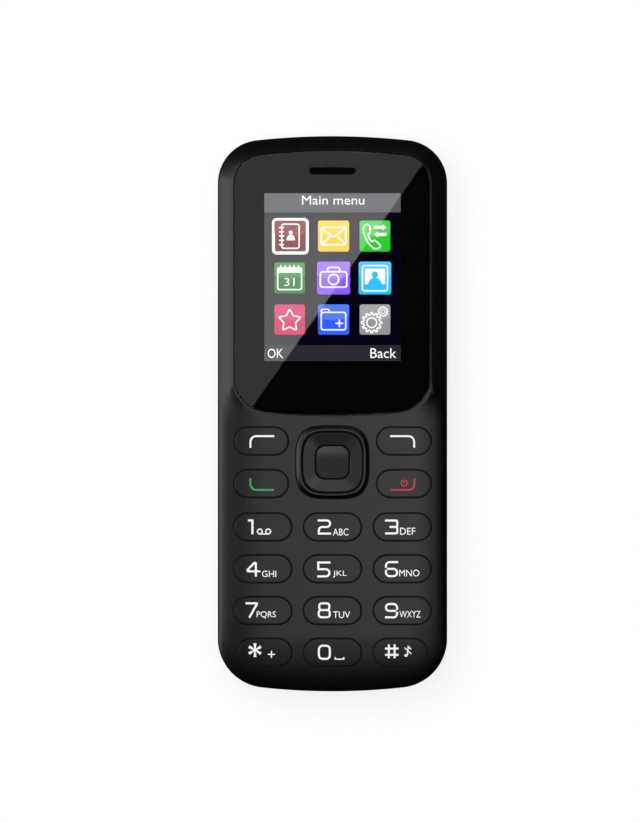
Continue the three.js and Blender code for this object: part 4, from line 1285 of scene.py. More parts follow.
def build_screen():
    margin = SCREEN_MARGIN
    low = (-SCREEN_HALF - margin, SCREEN_BOTTOM - margin)
    high = (SCREEN_HALF + margin, SCREEN_TOP + margin)
    title_y = from_px(0, TITLE_BAR_PX)[1]
    soft_y = from_px(0, SOFT_BAR_PX)[1]
    shades = {
        "screen_field": ((4, 3, 17), [(low[0], soft_y), (high[0], title_y)]),
        "screen_title_bar": ((90, 89, 96), [(low[0], title_y), high]),
        "screen_soft_key_bar": ((44, 41, 51), [low, (high[0], soft_y)]),
    }
    for name, (color, corners) in shades.items():
        screen_layer(name, 0, lit(name, color), lambda f, c=corners: f.polygon(rectangle(*c)))
    white = lit("screen_white", (255, 255, 255))

    def words(figure):
        for word, pixels in SCREEN_WORDS_PX.items():
            figure.text(word, *px_box(*pixels))
        low, high = px_box(*FRAME_PX)
        outer = RoundBox(low[0], high[0], low[1], high[1], FRAME_CORNER)
        figure.fill(
            [outer.outline(0), outer.outline(FRAME_LINE)],
            lambda x, y: 0 < outer.depth(x, y) < FRAME_LINE,
        )

    screen_layer("screen_words", 1, white, words)
    tiles = [(row, column) for row in TILE_ROWS_PX for column in TILE_COLUMNS_PX]
    for (name, color), (row, column) in zip(TILE_COLORS, tiles):
        build_tile(name, color, row, column, white)


def build_tile(name, color, row, column, white):
    grow = LARGE_TILE_GROWTH_PX if name in ("camera", "pictures") else 0
    low, high = px_box(column[0] - grow, row[0] - grow, column[1] + grow, row[1] + grow)
    shape = RoundBox(low[0], high[0], low[1], high[1], TILE_CORNER)
    base = lit(f"tile_{name}", color)
    light = [round(mix(level, 255, GLOSS_SHARE)) for level in color]

    def field(figure):
        figure.fill([shape.outline(0)], lambda x, y: shape.depth(x, y) > 0)

    screen_layer(f"tile_{name}", 1, base, field)
    middle = ((low[0] + high[0]) / 2, (low[1] + high[1]) / 2)
    half = (high[0] - low[0]) / 2

    def gloss(figure):
        upper = [p for p in shape.outline(0) if p[1] > middle[1]]
        bow = []
        for i in range(GLOSS_STEPS + 1):
            drop = GLOSS_BOW_SHARE * math.sin(math.pi * i / GLOSS_STEPS)
            x = mix(low[0], high[0], i / GLOSS_STEPS)
            bow.append((x, middle[1] + half * (GLOSS_EDGE_SHARE - drop)))
        figure.polygon(upper + bow)

    screen_layer(f"tile_{name}_gloss", 2, lit(f"tile_{name}_gloss", light), gloss)
    glyph = Glyph(middle, half)
    screen_layer(f"tile_{name}_glyph", 3, white, lambda f: glyph.draw(name, f))
    if name == "pictures":
        screen_layer("tile_pictures_person", 4, base, glyph.person)


class Glyph:
    """The signs of the menu's tiles, in shares of half a tile."""

    def __init__(self, middle, half):
        self.middle = middle
        self.half = half
        self.width = GLYPH_STROKE_SHARE * half

    def place(self, points):
        return [(self.middle[0] + x * self.half, self.middle[1] + y * self.half) for x, y in points]

    def line(self, figure, points, corner=0.0, closed=False, width=1.0):
        path = rounded(self.place(points), corner * self.half, closed)
        figure.stroke(path, self.width * width, closed)

    def frame(self, figure, left, right, low, high, corner=0.14):
        self.line(figure, [(left, low), (right, low), (right, high), (left, high)], corner, closed=True)

    def round(self, figure, x, y, radius, width=1.0):
        self.line(figure, circle_points(x, y, radius, 32), closed=True, width=width)

    def filled(self, figure, points, corner=0.0):
        figure.polygon(rounded(self.place(points), corner * self.half, closed=True))

    def draw(self, name, figure):
        getattr(self, name)(figure)

    def contacts(self, figure):
        self.frame(figure, -0.52, 0.62, -0.8, 0.78)
        for y in (0.56, 0.28, 0, -0.28, -0.56):
            self.line(figure, [(-0.69, y), (-0.37, y)])
        figure.disc(*self.place([(0.07, 0.23)])[0], 0.13 * self.half)
        self.filled(figure, bell(0.07, -0.28, 0.28, 0.38))

    def messages(self, figure):
        self.frame(figure, -0.79, 0.79, -0.56, 0.56)
        self.line(figure, [(-0.74, 0.5), (0, -0.08), (0.74, 0.5)], 0.1)
        self.line(figure, [(-0.74, -0.5), (-0.2, 0)])
        self.line(figure, [(0.74, -0.5), (0.2, 0)])

    def calls(self, figure):
        outline = [
            (-0.67, 0.72), (-0.46, 0.77), (-0.34, 0.66), (-0.29, 0.36), (-0.34, 0.18), (-0.49, 0.15),
            (-0.38, -0.14), (-0.19, -0.41), (-0.04, -0.24), (0.35, -0.59), (0.35, -0.71), (0.14, -0.83),
            (-0.1, -0.8), (-0.43, -0.47), (-0.7, 0.07), (-0.77, 0.48),
        ]
        self.line(figure, outline, 0.08, closed=True)
        for side, y in ((1, 0.57), (-1, 0.11)):
            tip, root, tail = (0.77, 0.48, -0.08) if side > 0 else (-0.08, 0.2, 0.76)
            self.filled(figure, [
                (tip, y), (root, y + 0.21), (root, y + 0.1), (tail, y + 0.1),
                (tail, y - 0.1), (root, y - 0.1), (root, y - 0.21),
            ])

    def calendar(self, figure):
        self.frame(figure, -0.78, 0.78, -0.76, 0.66)
        self.filled(figure, [(-0.82, 0.34), (0.82, 0.34), (0.82, 0.7), (-0.82, 0.7)], 0.1)
        for x in (-0.58, -0.29, 0, 0.29, 0.58):
            self.line(figure, [(x, 0.68), (x, 0.84)])
        low, high = self.place([(-0.34, -0.53), (0.32, 0)])
        figure.text("31", low, high)

    def camera(self, figure):
        self.frame(figure, -0.8, 0.8, -0.56, 0.38)
        self.line(figure, [(-0.37, 0.4), (-0.37, 0.64), (0.37, 0.64), (0.37, 0.4)], 0.14)
        self.round(figure, 0, -0.09, 0.31)

    def pictures(self, figure):
        self.frame(figure, -0.77, 0.77, -0.79, 0.76)
        self.filled(figure, [(-0.62, -0.38), (0.62, -0.38), (0.62, 0.58), (-0.62, 0.58)])

    def person(self, figure):
        figure.disc(*self.place([(0, 0.2)])[0], 0.2 * self.half)
        self.filled(figure, bell(0, -0.4, 0.42, 0.42))

    def favourites(self, figure):
        points = []
        for i in range(10):
            turn = math.pi / 2 + i * math.pi / 5
            radius = 0.4 if i % 2 else 0.78
            points.append((radius * math.cos(turn), radius * math.sin(turn) - 0.08))
        self.line(figure, points, 0.06, closed=True)

    def folder(self, figure):
        self.frame(figure, -0.79, 0.78, -0.66, 0.46)
        self.line(figure, [(-0.79, 0.44), (-0.79, 0.66), (-0.33, 0.66), (-0.24, 0.46)], 0.1)
        self.line(figure, [(0.12, -0.24), (0.62, -0.24)])
        self.line(figure, [(0.37, 0.01), (0.37, -0.49)])

    def settings(self, figure):
        for x, y, root, tip, hub, width in GEAR_SHARES:
            self.line(figure, gear(x, y, root, tip), 0.03, closed=True, width=width)
            self.round(figure, x, y, hub, width)


def bell(x, foot, half, height):
    """The outline of a head-and-shoulders sign's shoulders."""
    return [
        (x + half * math.cos(math.pi * i / 16), foot + height * math.sin(math.pi * i / 16))
        for i in range(17)
    ]


GEAR_TEETH = 12

# Each gear's middle, root, tip and hub, and the width of its line
GEAR_SHARES = ((-0.21, -0.2, 0.52, 0.66, 0.32, 1), (0.52, 0.52, 0.24, 0.33, 0.13, 0.6))


def gear(x, y, root, tip):
    points = []
    for tooth in range(GEAR_TEETH):
        for share, radius in ((-0.3, root), (-0.17, tip), (0.17, tip), (0.3, root)):
            turn = TAU * (tooth + share) / GEAR_TEETH
            points.append((x + radius * math.cos(turn), y + radius * math.sin(turn)))
    return points


# Navigation key

BEZEL_INSET = 0.65
BEZEL_HALF = NAV_HOLE / 2 - BEZEL_INSET
BEZEL_WIDTH = 0.5
BEZEL_LAND = 0.2
BEZEL_DROP = 0.01
BEZEL_TOP = KEY_TOP_Z - BEZEL_DROP
BEZEL_STEPS = 8
BEZEL_FLANGE = 0.35
BEZEL_FLANGE_THICKNESS = 0.6
BEZEL_SLOPE = math.radians(35)
BEZEL_GAP = 0.1
RING_HALF = box("nav_ring")[1].x
RING_RIM = 0.03
RING_DISH = 0.56
RING_EDGE = 0.05
RING_LIP = 0.12
RING_LIP_DROP = 0.03
RING_STEP = 0.02
RING_MARGIN = 0.1
OK_HALF = 3.34
OK_CORNER = 1.8
OK_FLANGE = 0.7
OK_FLANGE_THICKNESS = 0.4
OK_FLANGE_EDGE = 0.05
OK_TILT = 0.13
OK_LEVELS_FROM = 0.8
OK_SIDE_RISE = 0.006
OK_EDGE = 0.05
OK_CHAMFER = 0.08
OK_CHAMFER_DROP = 0.03
OK_EDGE_STEPS = 5
OK_MARGIN = 0.12
NAV_FIT = 0.26
NAV_GRID = 0.3


def nav_square(half, corner):
    return RoundBox(-half, half, NAV_Y - half, NAV_Y + half, corner, steps=12)


def square_reach(x, y, corner):
    """The half width of the round-cornered square about the key's middle that a place lies on."""
    x, y = abs(x), abs(y - NAV_Y)
    if abs(x - y) >= corner:
        return max(x, y)
    a, b = x + corner, y + corner
    return (a + b - math.sqrt(2 * corner ** 2 - (a - b) ** 2)) / 2


def build_bezel():
    low = box("nav_bezel")[0].z
    shell = Shell()
    flange_top = low + BEZEL_FLANGE_THICKNESS
    outer = SoftSquare(BEZEL_HALF)
    skirt = SoftSquare(NAV_HOLE / 2 - BEZEL_GAP)
    wide = SoftSquare(NAV_HOLE / 2 + BEZEL_FLANGE)
    inner = SoftSquare(BEZEL_HALF - BEZEL_WIDTH)
    radius = (BEZEL_WIDTH - BEZEL_LAND) / 2
    start = math.pi / 2 - BEZEL_SLOPE
    slope_width = skirt.half - outer.half + radius * (1 - math.cos(start))
    slope_foot = BEZEL_TOP - radius * (1 - math.sin(start)) - slope_width * math.tan(BEZEL_SLOPE)
    loops = [
        shell.loop(inner.outline(0), low),
        shell.loop(wide.outline(0), low),
        shell.loop(wide.outline(0), flange_top),
        shell.loop(skirt.outline(0), flange_top),
        shell.loop(skirt.outline(0), slope_foot),
    ]
    for step in range(BEZEL_STEPS + 1):
        angle = mix(start, math.pi, step / BEZEL_STEPS)
        land = BEZEL_LAND if angle > math.pi / 2 else 0
        inset = radius * (1 - math.cos(angle)) + land
        loops.append(shell.loop(outer.outline(inset), BEZEL_TOP - radius * (1 - math.sin(angle))))
    shell.tower(loops)
    shell.strip(loops[-1], loops[0])
    settle(add_object("nav_bezel_ring", shell, bezel_plastic), "root", "gloss_key", "nav_bezel")


def build_nav_ring():
    low, high = box("nav_ring")
    shell = Shell()
    outer = SoftSquare(RING_HALF)
    wide = SoftSquare(RING_HALF - RING_RIM)
    hole_half = OK_HALF + NAV_FIT
    hole = nav_square(hole_half, OK_CORNER + NAV_FIT)
    slope = RING_DISH / (RING_HALF - RING_RIM - hole_half)

    def dish(x, y):
        return high.z - slope * max(0, RING_HALF - RING_RIM - square_reach(x, y, OK_CORNER))

    loops = [shell.loop(outer.outline(0), low.z)]
    loops += shell.rounded_edge(outer, RING_EDGE, lambda x, y: high.z, TOP_EDGE_STEPS)
    rim = shell.loop(wide.outline(RING_EDGE), high.z)
    shell.tower(loops)
    shell.strip(loops[-1], rim)
    foot = shell.loop(wide.outline(RING_EDGE + RING_STEP), dish)
    shell.strip(rim, foot)
    lip = shell.loop(hole.outline(-RING_LIP), dish)
    edge = shell.loop(hole.outline(0), lambda x, y: dish(x, y) - RING_LIP_DROP)
    base = shell.loop(hole.outline(0), low.z)

    def keep(x, y, margin):
        return wide.depth(x, y) > RING_EDGE + RING_STEP + margin and hole.depth(x, y) < -RING_LIP - margin

    reach = RING_HALF
    loose = grid_points(
        shell,
        (-reach, NAV_Y - reach),
        (reach, NAV_Y + reach),
        dish,
        lambda x, y: keep(x, y, RING_MARGIN),
        NAV_GRID,
    )
    inner = shell.loop(hole.outline(-RING_LIP), dish)
    shell.sheet([foot, inner], lambda x, y: keep(x, y, 0), loose, height=dish)
    shell.strip(lip, edge)
    shell.strip(edge, base)
    shell.sheet([loops[0], base], lambda x, y: outer.depth(x, y) > 0 and hole.depth(x, y) < 0, up=False)
    settle(add_object("nav_ring_top", shell, gloss_plastic), "nav_ring", "gloss_key", "nav_ring")


def build_ok_key():
    low, high = box("ok_key")
    shape = nav_square(OK_HALF, OK_CORNER)
    flange_top = low.z + OK_FLANGE_THICKNESS
    shell = Shell()

    def top(x, y):
        """A top that slopes down towards its lower edge and levels out at its upper one."""
        reach = OK_HALF - OK_LEVELS_FROM
        above = y - NAV_Y - OK_LEVELS_FROM
        rise = above - reach / 2
        if above > 0:
            rise -= above ** 2 / (2 * reach)
        return high.z + OK_TILT * rise - OK_SIDE_RISE * (OK_HALF ** 2 - x ** 2)

    loops = [
        shell.loop(shape.outline(-OK_FLANGE), low.z),
        shell.loop(shape.outline(-OK_FLANGE), low.z + OK_FLANGE_EDGE),
        shell.loop(shape.outline(0), flange_top),
    ]
    loops += shell.rounded_edge(shape, OK_EDGE, top, OK_EDGE_STEPS, OK_CHAMFER_DROP)
    loops.append(shell.loop(shape.outline(OK_EDGE + OK_CHAMFER), top))
    shell.cap(loops[0], up=False)
    shell.tower(loops)
    loose = grid_points(
        shell,
        (-OK_HALF, NAV_Y - OK_HALF),
        (OK_HALF, NAV_Y + OK_HALF),
        top,
        lambda x, y: shape.depth(x, y) > OK_EDGE + OK_CHAMFER + OK_MARGIN,
        NAV_GRID,
    )
    flat = OK_EDGE + OK_CHAMFER
    rim = shell.loop(shape.outline(flat), top)
    shell.sheet([rim], lambda x, y: shape.depth(x, y) > flat * NEARLY, loose, height=top)
    settle(add_object("ok_key_cap", shell, gloss_plastic), "ok_key", "gloss_key", "ok_key")


# Battery cover

BACK_ROLL_WIDTH = 4.5
BACK_ROLL_HEIGHT = 3.2
BACK_WALL = 1.2
BACK_STEPS = 12
BACK_CHAMFER = 0.1
BACK_CHAMFER_DROP = 0.15
RAIL_DEPTH = 0.4
RAIL_HEIGHT = 0.5
RAIL_DROP = 0.3
RAIL_LOW_Y = BOTTOM_Y + 8.5
RAIL_INSET = 2.0
GRIP_COUNT = 5
GRIP_PITCH = 1.8
GRIP_WIDTH = 14
GRIP_LINE = 0.8
GRIP_DEPTH = 0.3
GRIP_INSET = 3.0
GRIP_SLOPE = 0.15
GRIP_ROUND_SHARE = 0.999


def back_outline(inset, edge_y):
    """The lower part of the phone's outline, open at its upper edge, from right to left."""
    half = BODY.half - inset
    corner = max(LEAST_CORNER, BODY.corners[1] - inset)
    lower = arched_end(half, -BODY.bottom - inset, BODY.arches[1] - inset, corner)
    lower = [(x, -y) for x, y in lower]
    right = between((half, edge_y), lower[0], SIDE_STEPS)
    left = between(lower[-1], (-half, edge_y), SIDE_STEPS)
    return [(half, edge_y)] + right + lower + left + [(-half, edge_y)]


def build_battery_cover():
    edge_y = BACK_HIGH.y
    top_z = BACK_HIGH.z
    shell = Shell()
    outer = []
    inner = []
    for step in range(BACK_STEPS + 1):
        angle = math.pi / 2 * step / BACK_STEPS
        sin, cos = math.sin(angle), math.cos(angle)
        points = back_outline(BACK_ROLL_WIDTH * (1 - sin), edge_y)
        outer.append(shell.loop(points, BACK_ROLL_HEIGHT * (1 - cos)))
        points = back_outline(BACK_ROLL_WIDTH - (BACK_ROLL_WIDTH - BACK_WALL) * sin, edge_y)
        inner.append(shell.loop(points, BACK_ROLL_HEIGHT - (BACK_ROLL_HEIGHT - BACK_WALL) * cos))
    for inset, height in ((0, top_z - BACK_CHAMFER_DROP), (BACK_CHAMFER, top_z)):
        outer.append(shell.loop(back_outline(inset, edge_y), height))
        inner.append(shell.loop(back_outline(BACK_WALL - inset, edge_y), height))

    def open_strip(low, high):
        for i in range(len(low) - 1):
            shell.faces.append((low[i], high[i], high[i + 1], low[i + 1]))

    for low, high in zip(outer, outer[1:]):
        open_strip(low, high)
    open_strip(outer[-1], inner[-1])
    for low, high in zip(inner, inner[1:]):
        open_strip(high, low)
    for end in (0, -1):
        for k in range(len(outer) - 1):
            face = (outer[k][end], inner[k][end], inner[k + 1][end], outer[k + 1][end])
            shell.faces.append(face if end == 0 else face[::-1])
    shell.faces.append((outer[0][0], outer[0][-1], inner[0][-1], inner[0][0]))

    grips = []
    for i in range(GRIP_COUNT):
        y = edge_y - GRIP_INSET - i * GRIP_PITCH
        half = GRIP_LINE / 2
        corner = half * GRIP_ROUND_SHARE
        grips.append(RoundBox(-GRIP_WIDTH / 2, GRIP_WIDTH / 2, y - half, y + half, corner))
    field = back_outline(BACK_ROLL_WIDTH, edge_y)

    def on_field(x, y):
        return y < edge_y and contains(field, x, y)

    mouths = [shell.loop(grip.outline(0), 0) for grip in grips]
    floors = [shell.loop(grip.outline(GRIP_SLOPE), GRIP_DEPTH) for grip in grips]
    shell.sheet(
        [outer[0]] + mouths,
        lambda x, y: on_field(x, y) and all(grip.depth(x, y) < 0 for grip in grips),
        up=False,
    )
    for mouth, floor in zip(mouths, floors):
        shell.strip(mouth, floor)
        shell.cap(floor, up=False)
    shell.sheet([inner[0]], on_field)

    rail_z = top_z - RAIL_DROP
    for side in (-1, 1):
        wall = side * (HALF_WIDTH - BACK_WALL / 2)
        tip = side * (HALF_WIDTH - BACK_WALL - RAIL_DEPTH)
        add_block(
            shell,
            (min(wall, tip), RAIL_LOW_Y, rail_z - RAIL_HEIGHT),
            (max(wall, tip), edge_y - RAIL_INSET, rail_z),
        )
    settle(add_object("battery_cover_shell", shell, cover_plastic), "battery_cover", "cover", "battery_cover")


def add_block(shell, low, high):
    base = shell.loop(rectangle(low[:2], high[:2]), low[2])
    top = shell.loop(rectangle(low[:2], high[:2]), high[2])
    shell.cap(base, up=False)
    shell.strip(base, top)
    shell.cap(top)


# Rear housing: smooth skins over its corners, whose solids are faceted, and a print on the camera window

SKIN_OUT = 0.02
BAND_GAP = 0.12
CAMERA_PRINT = (2.3, 1.9)
CAMERA_PRINT_OUT = 0.02


def corner_skin(shell, upper, side, profile):
    """A skin round one corner of the housing, through the insets and heights of a profile."""
    tip, arch, corner = (BODY.top, BODY.arches[0], BODY.corners[0])
    if not upper:
        tip, arch, corner = (-BODY.bottom, BODY.arches[1], BODY.corners[1])
    loops = []
    for inset, height in profile:
        drawn = inset - SKIN_OUT
        points = arched_end(BODY.half - drawn, tip - drawn, arch - drawn, corner - drawn)
        points = points[:CORNER_STEPS + 1] if side > 0 else points[-CORNER_STEPS - 1:]
        if not upper:
            points = [(x, -y) for x, y in reversed(points)]
        loops.append(shell.loop(points, height))
    for low, high in zip(loops, loops[1:]):
        for i in range(len(low) - 1):
            shell.faces.append((low[i], low[i + 1], high[i + 1], high[i]))


def build_housing_corners():
    top_z = box("rear_housing")[1].z
    roll = []
    for step in range(BACK_STEPS + 1):
        angle = math.pi / 2 * step / BACK_STEPS
        roll.append((BACK_ROLL_WIDTH * (1 - math.sin(angle)), BACK_ROLL_HEIGHT * (1 - math.cos(angle))))
    band = [(0, BACK_HIGH.z + BAND_GAP), (0, top_z)]
    shell = Shell()
    for side in (-1, 1):
        corner_skin(shell, True, side, roll + [(0, top_z)])
        corner_skin(shell, False, side, band)
    settle(add_object("rear_housing_corners", shell, casing), "root", "casing")


def build_camera_print():
    low, high = box("camera_window")
    x, y = (low.x + high.x) / 2, (low.y + high.y) / 2
    rings = [circle_points(x, y, radius, NAV_STEPS) for radius in CAMERA_PRINT]
    shell = Shell()
    outer, inner = [shell.loop(ring, low.z - CAMERA_PRINT_OUT) for ring in rings]
    shell.strip(outer, inner)
    settle(add_object("camera_window_print", shell, print_grey, smooth_angle=0), "root", "window")


dress_nodes()
build_front_cover()
build_round_keys()
build_lens()
build_digit_legends()
build_upper_legends()
build_screen()
build_bezel()
build_nav_ring()
build_ok_key()
build_battery_cover()
build_housing_corners()
build_camera_print()


# Floor, lamps and camera

CAMERA_HEIGHT = 1.0
CAMERA_PLANE = 0.0115
FRAMING = 1.0015
SENSOR = 36.0


def build_camera():
    lens = bpy.data.cameras.new("camera")
    lens.sensor_width = SENSOR
    lens.lens = SENSOR * CAMERA_HEIGHT / (PHOTO_HEIGHT * MM_PER_PX * MM) * FRAMING
    lens.clip_start = 0.01
    lens.clip_end = 100
    camera = bpy.data.objects.new("camera", lens)
    foot = camera_foot()
    camera.location = (foot[0] * MM, foot[1] * MM, CAMERA_PLANE + CAMERA_HEIGHT)
    bpy.context.scene.collection.objects.link(camera)
    bpy.context.scene.camera = camera


def camera_foot():
    """The place that the middle of the photograph shows, which the camera stands over."""
    return from_px(PHOTO_WIDTH / 2, PHOTO_HEIGHT / 2)


FLOOR_COLOR = 0.22
FLOOR_GLOW = 0.8
FLOOR_HALF = 30.0


def build_floor():
    material = new_material("floor")
    diffuse = add_node(material, "ShaderNodeBsdfDiffuse", Color=(FLOOR_COLOR,) * 3 + (1,))
    glow = add_node(material, "ShaderNodeEmission", Color=(1, 1, 1, 1))
    path = add_node(material, "ShaderNodeLightPath")
    camera_or_glossy = add_node(material, "ShaderNodeMath", operation="MAXIMUM")
    any_seen = add_node(material, "ShaderNodeMath", operation="MAXIMUM")
    strength = add_node(material, "ShaderNodeMath", operation="MULTIPLY")
    strength.inputs[1].default_value = FLOOR_GLOW
    wire(material, path, "Is Camera Ray", camera_or_glossy, 0)
    wire(material, path, "Is Glossy Ray", camera_or_glossy, 1)
    wire(material, camera_or_glossy, "Value", any_seen, 0)
    wire(material, path, "Is Transmission Ray", any_seen, 1)
    wire(material, any_seen, "Value", strength, 0)
    wire(material, strength, "Value", glow, "Strength")
    both = add_node(material, "ShaderNodeAddShader")
    output = add_node(material, "ShaderNodeOutputMaterial")
    wire(material, diffuse, "BSDF", both, 0)
    wire(material, glow, "Emission", both, 1)
    wire(material, both, "Shader", output, "Surface")
    shell = Shell()
    reach = FLOOR_HALF / MM
    shell.cap(shell.loop(rectangle((-reach, -reach), (reach, reach)), 0))
    floor = add_object("floor", shell, material, smooth_angle=0)


def glow_card(name, faces_points, strength):
    """A bright card that only reflections see."""
    material = new_material(name)
    glow = add_node(material, "ShaderNodeEmission", Color=(1, 1, 1, 1))
    output = add_node(material, "ShaderNodeOutputMaterial")
    wire(material, glow, "Emission", output, "Surface")
    if callable(strength):
        strength(material, glow)
    else:
        glow.inputs["Strength"].default_value = strength
    shell = Shell()
    for points in faces_points:
        start = len(shell.points)
        shell.points += points
        shell.faces.append(tuple(range(start, len(shell.points))))
    card = add_object(name, shell, material, smooth_angle=0)
    card.visible_camera = False
    card.visible_diffuse = False
    card.visible_volume_scatter = False
    card.visible_shadow = False


# The soft light overhead. Its brightness over its width and its length follows two curves: a place
# is a share of the card's height over the phone, and a level of 1 is what the level face reflects
CARD_HEIGHT = 500.0
SOFT_REACH = 1100.0
WIDTH_SHARES = (
    (-2.2, 2.6), (-1.6, 2.1), (-1.3, 1.5), (-0.9, 1.1), (-0.6, 0.65), (-0.4, 0.35), (-0.25, 0.1),
    (-0.15, 0.5), (-0.05, 1.8), (0.05, 2.8), (0.15, 2.35), (0.25, 1.6), (0.4, 1.05), (0.6, 0.5),
    (0.85, 0.2), (1.2, 0),
)
LENGTH_SHARES = (
    (-0.3, 0), (-0.2, 0.4), (-0.1, 1.5), (0, 1), (0.3, 0.75), (0.55, 0.4), (0.75, 0.6), (0.9, 1.6),
    (1.1, 1.6), (1.3, 0),
)


def soft_falloff(material, glow):
    place = add_node(material, "ShaderNodeTexCoord")
    part = add_node(material, "ShaderNodeSeparateXYZ")
    wire(material, place, "Object", part, "Vector")
    reach = SOFT_REACH * MM
    levels = []
    for axis, shares in enumerate((WIDTH_SHARES, LENGTH_SHARES)):
        spread = add_node(material, "ShaderNodeMapRange")
        spread.inputs["From Min"].default_value = -reach
        spread.inputs["From Max"].default_value = reach
        wire(material, part, axis, spread, "Value")
        ramp = add_node(material, "ShaderNodeValToRGB")
        stops = ramp.color_ramp.elements
        top = max(level for where, level in shares)
        for i, (where, level) in enumerate(shares):
            position = (where * CARD_HEIGHT / SOFT_REACH + 1) / 2
            stop = stops[i] if i < len(stops) else stops.new(position)
            stop.position = position
            stop.color = (level / top, level / top, level / top, 1)
        wire(material, spread, "Result", ramp, "Fac")
        scale = add_node(material, "ShaderNodeMath", operation="MULTIPLY")
        scale.inputs[1].default_value = top
        wire(material, ramp, "Color", scale, 0)
        levels.append(scale)
    both = add_node(material, "ShaderNodeMath", operation="MULTIPLY")
    wire(material, levels[0], "Value", both, 0)
    wire(material, levels[1], "Value", both, 1)
    wire(material, both, "Value", glow, "Strength")


def mirrored(x, y, height):
    """Where the lens shows a card at a height, for a place on the lens seen by the camera."""
    foot = camera_foot()
    share = height / (CAMERA_HEIGHT / MM)
    return (x + (x - foot[0]) * share, y + (y - foot[1]) * share)


def build_soft_light():
    low = mirrored(-LENS.half, LENS.bottom, CARD_HEIGHT)
    high = mirrored(LENS.half, LENS.top, CARD_HEIGHT)
    reach = SOFT_REACH
    z = LENS_HIGH.z + CARD_HEIGHT

    def sheet(x0, x1, y0, y1):
        return [(x0, y0, z), (x0, y1, z), (x1, y1, z), (x1, y0, z)]

    faces = [
        sheet(-reach, low[0], -reach, reach),
        sheet(high[0], reach, -reach, reach),
        sheet(low[0], high[0], -reach, low[1]),
        sheet(low[0], high[0], high[1], reach),
    ]
    glow_card("soft_light", faces, soft_falloff)


# The window light whose edge runs across the lens, between two pixels of the photograph
GLARE_FROM_PX = (423.5, 163.3)
GLARE_TO_PX = (251.6, 408.0)
GLARE_LEVEL = 0.44
WINDOW_HEIGHT = 1000.0
WINDOW_END_SHARE = 0.05
WINDOW_WIDTH_SHARE = 1.5


def build_glare():
    high = from_px(*GLARE_FROM_PX)
    low = from_px(*GLARE_TO_PX)
    along = (high[0] - low[0], high[1] - low[1])
    side = (-along[1], along[0])

    def place(share, out):
        x = low[0] + along[0] * share + side[0] * out
        y = low[1] + along[1] * share + side[1] * out
        return (*mirrored(x, y, WINDOW_HEIGHT), LENS_HIGH.z + WINDOW_HEIGHT)

    start, end, out = -WINDOW_END_SHARE, 1 + WINDOW_END_SHARE, WINDOW_WIDTH_SHARE
    corners = [place(start, 0), place(start, out), place(end, out), place(end, 0)]
    glow_card("window_light", [corners], GLARE_LEVEL)


# The strip light beyond the phone's left side
STRIP_X = -1200.0
STRIP_HALF = 350.0
STRIP_LOW = 40.0
STRIP_HIGH = 650.0
STRIP_LEVEL = 2.9


def build_strip():
    points = [
        (STRIP_X, -STRIP_HALF, STRIP_LOW),
        (STRIP_X, STRIP_HALF, STRIP_LOW),
        (STRIP_X, STRIP_HALF, STRIP_HIGH),
        (STRIP_X, -STRIP_HALF, STRIP_HIGH),
    ]
    glow_card("strip_light", [points], STRIP_LEVEL)


# A black mat round the phone, which only reflections see, as a photographer lays one to keep a white
# table out of a black object's sides
MAT_INNER = 8.0
MAT_REACH = 420.0
MAT_HEIGHT = 0.5


def build_mat():
    low, high = (-HALF_WIDTH, BOTTOM_Y), (HALF_WIDTH, TOP_Y)
    inner = (low[0] + MAT_INNER, high[0] - MAT_INNER, low[1] + MAT_INNER, high[1] - MAT_INNER)
    reach = MAT_REACH
    faces = []
    for x0, x1, y0, y1 in (
        (-reach, inner[0], -reach, reach),
        (inner[1], reach, -reach, reach),
        (inner[0], inner[1], -reach, inner[2]),
        (inner[0], inner[1], inner[3], reach),
    ):
        faces.append([(x, y, MAT_HEIGHT) for x, y in rectangle((x0, y0), (x1, y1))])
    glow_card("black_mat", faces, 0.0)


# Black flags round the set and over it, seen by reflections alone, so that the white room stays out
# of the black sides
FLAG_REACH = 1300.0
FLAG_GAP = 100.0
FLAG_HEIGHT = WINDOW_HEIGHT + FLAG_GAP


def build_flags():
    corners = rectangle((-FLAG_REACH, -FLAG_REACH), (FLAG_REACH, FLAG_REACH))
    foot = [(x, y, MAT_HEIGHT) for x, y in corners]
    top = [(x, y, FLAG_HEIGHT) for x, y in corners]
    faces = [top]
    for i in range(len(corners)):
        faces.append([foot[i - 1], foot[i], top[i], top[i - 1]])
    glow_card("black_flags", faces, 0.0)


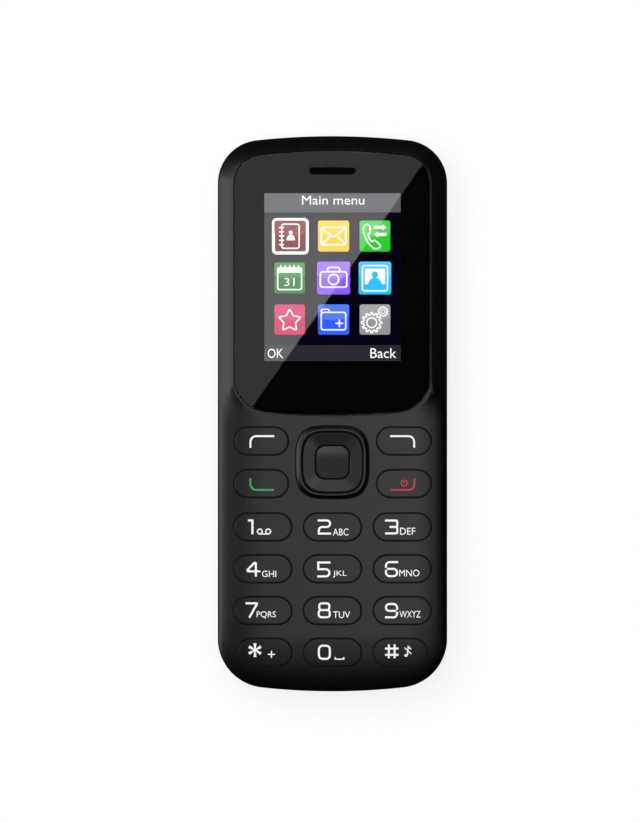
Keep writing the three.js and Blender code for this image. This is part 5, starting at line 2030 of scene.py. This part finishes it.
# The overhead lamp that lights colours at the level at which they are written
LAMP_SIZE = 2.0
LAMP_HEIGHT = 1.6
LAMP_PLACE = (-0.3, 0.3)
LAMP_LEVEL = 1.0
LAMP_PATCHES = 8


def build_lamp():
    data = bpy.data.lights.new("overhead_lamp", "AREA")
    data.shape = "SQUARE"
    data.size = LAMP_SIZE
    lamp = bpy.data.objects.new("overhead_lamp", data)
    lamp.location = (*LAMP_PLACE, LAMP_HEIGHT)
    middle = Vector(lamp.location)
    lamp.rotation_euler = middle.to_track_quat("Z", "Y").to_euler()
    # A square lamp's light on a small level surface, added up patch by patch
    steps = LAMP_PATCHES
    total = 0.0
    area = (LAMP_SIZE / steps) ** 2
    turn = lamp.rotation_euler.to_matrix()
    facing = turn @ Vector((0, 0, -1))
    for i in range(steps):
        for j in range(steps):
            offset = Vector(((i + 0.5) / steps - 0.5, (j + 0.5) / steps - 0.5, 0)) * LAMP_SIZE
            spot = middle + turn @ offset
            ray = spot.normalized()
            total += ray.z * -ray.dot(facing) * area / spot.length_squared
    data.energy = LAMP_LEVEL * math.pi * math.pi * LAMP_SIZE ** 2 / total
    lamp.visible_glossy = False
    lamp.visible_transmission = False
    lamp.visible_camera = False
    bpy.context.scene.collection.objects.link(lamp)


WORLD_LEVEL = 0.004


def build_world():
    world = bpy.data.worlds.new("studio")
    world.use_nodes = True
    tree = world.node_tree
    path = tree.nodes.new("ShaderNodeLightPath")
    level = path.outputs["Is Camera Ray"]
    for other in (path.outputs["Is Glossy Ray"], path.outputs["Is Transmission Ray"], WORLD_LEVEL):
        larger = tree.nodes.new("ShaderNodeMath")
        larger.operation = "MAXIMUM"
        tree.links.new(level, larger.inputs[0])
        if other == WORLD_LEVEL:
            larger.inputs[1].default_value = other
        else:
            tree.links.new(other, larger.inputs[1])
        level = larger.outputs["Value"]
    background = tree.nodes["Background"]
    background.inputs["Color"].default_value = (1, 1, 1, 1)
    tree.links.new(level, background.inputs["Strength"])
    bpy.context.scene.world = world


build_camera()
build_floor()
build_soft_light()
build_glare()
build_strip()
build_mat()
build_flags()
build_lamp()
build_world()
bpy.context.scene.view_settings.view_transform = "Standard"
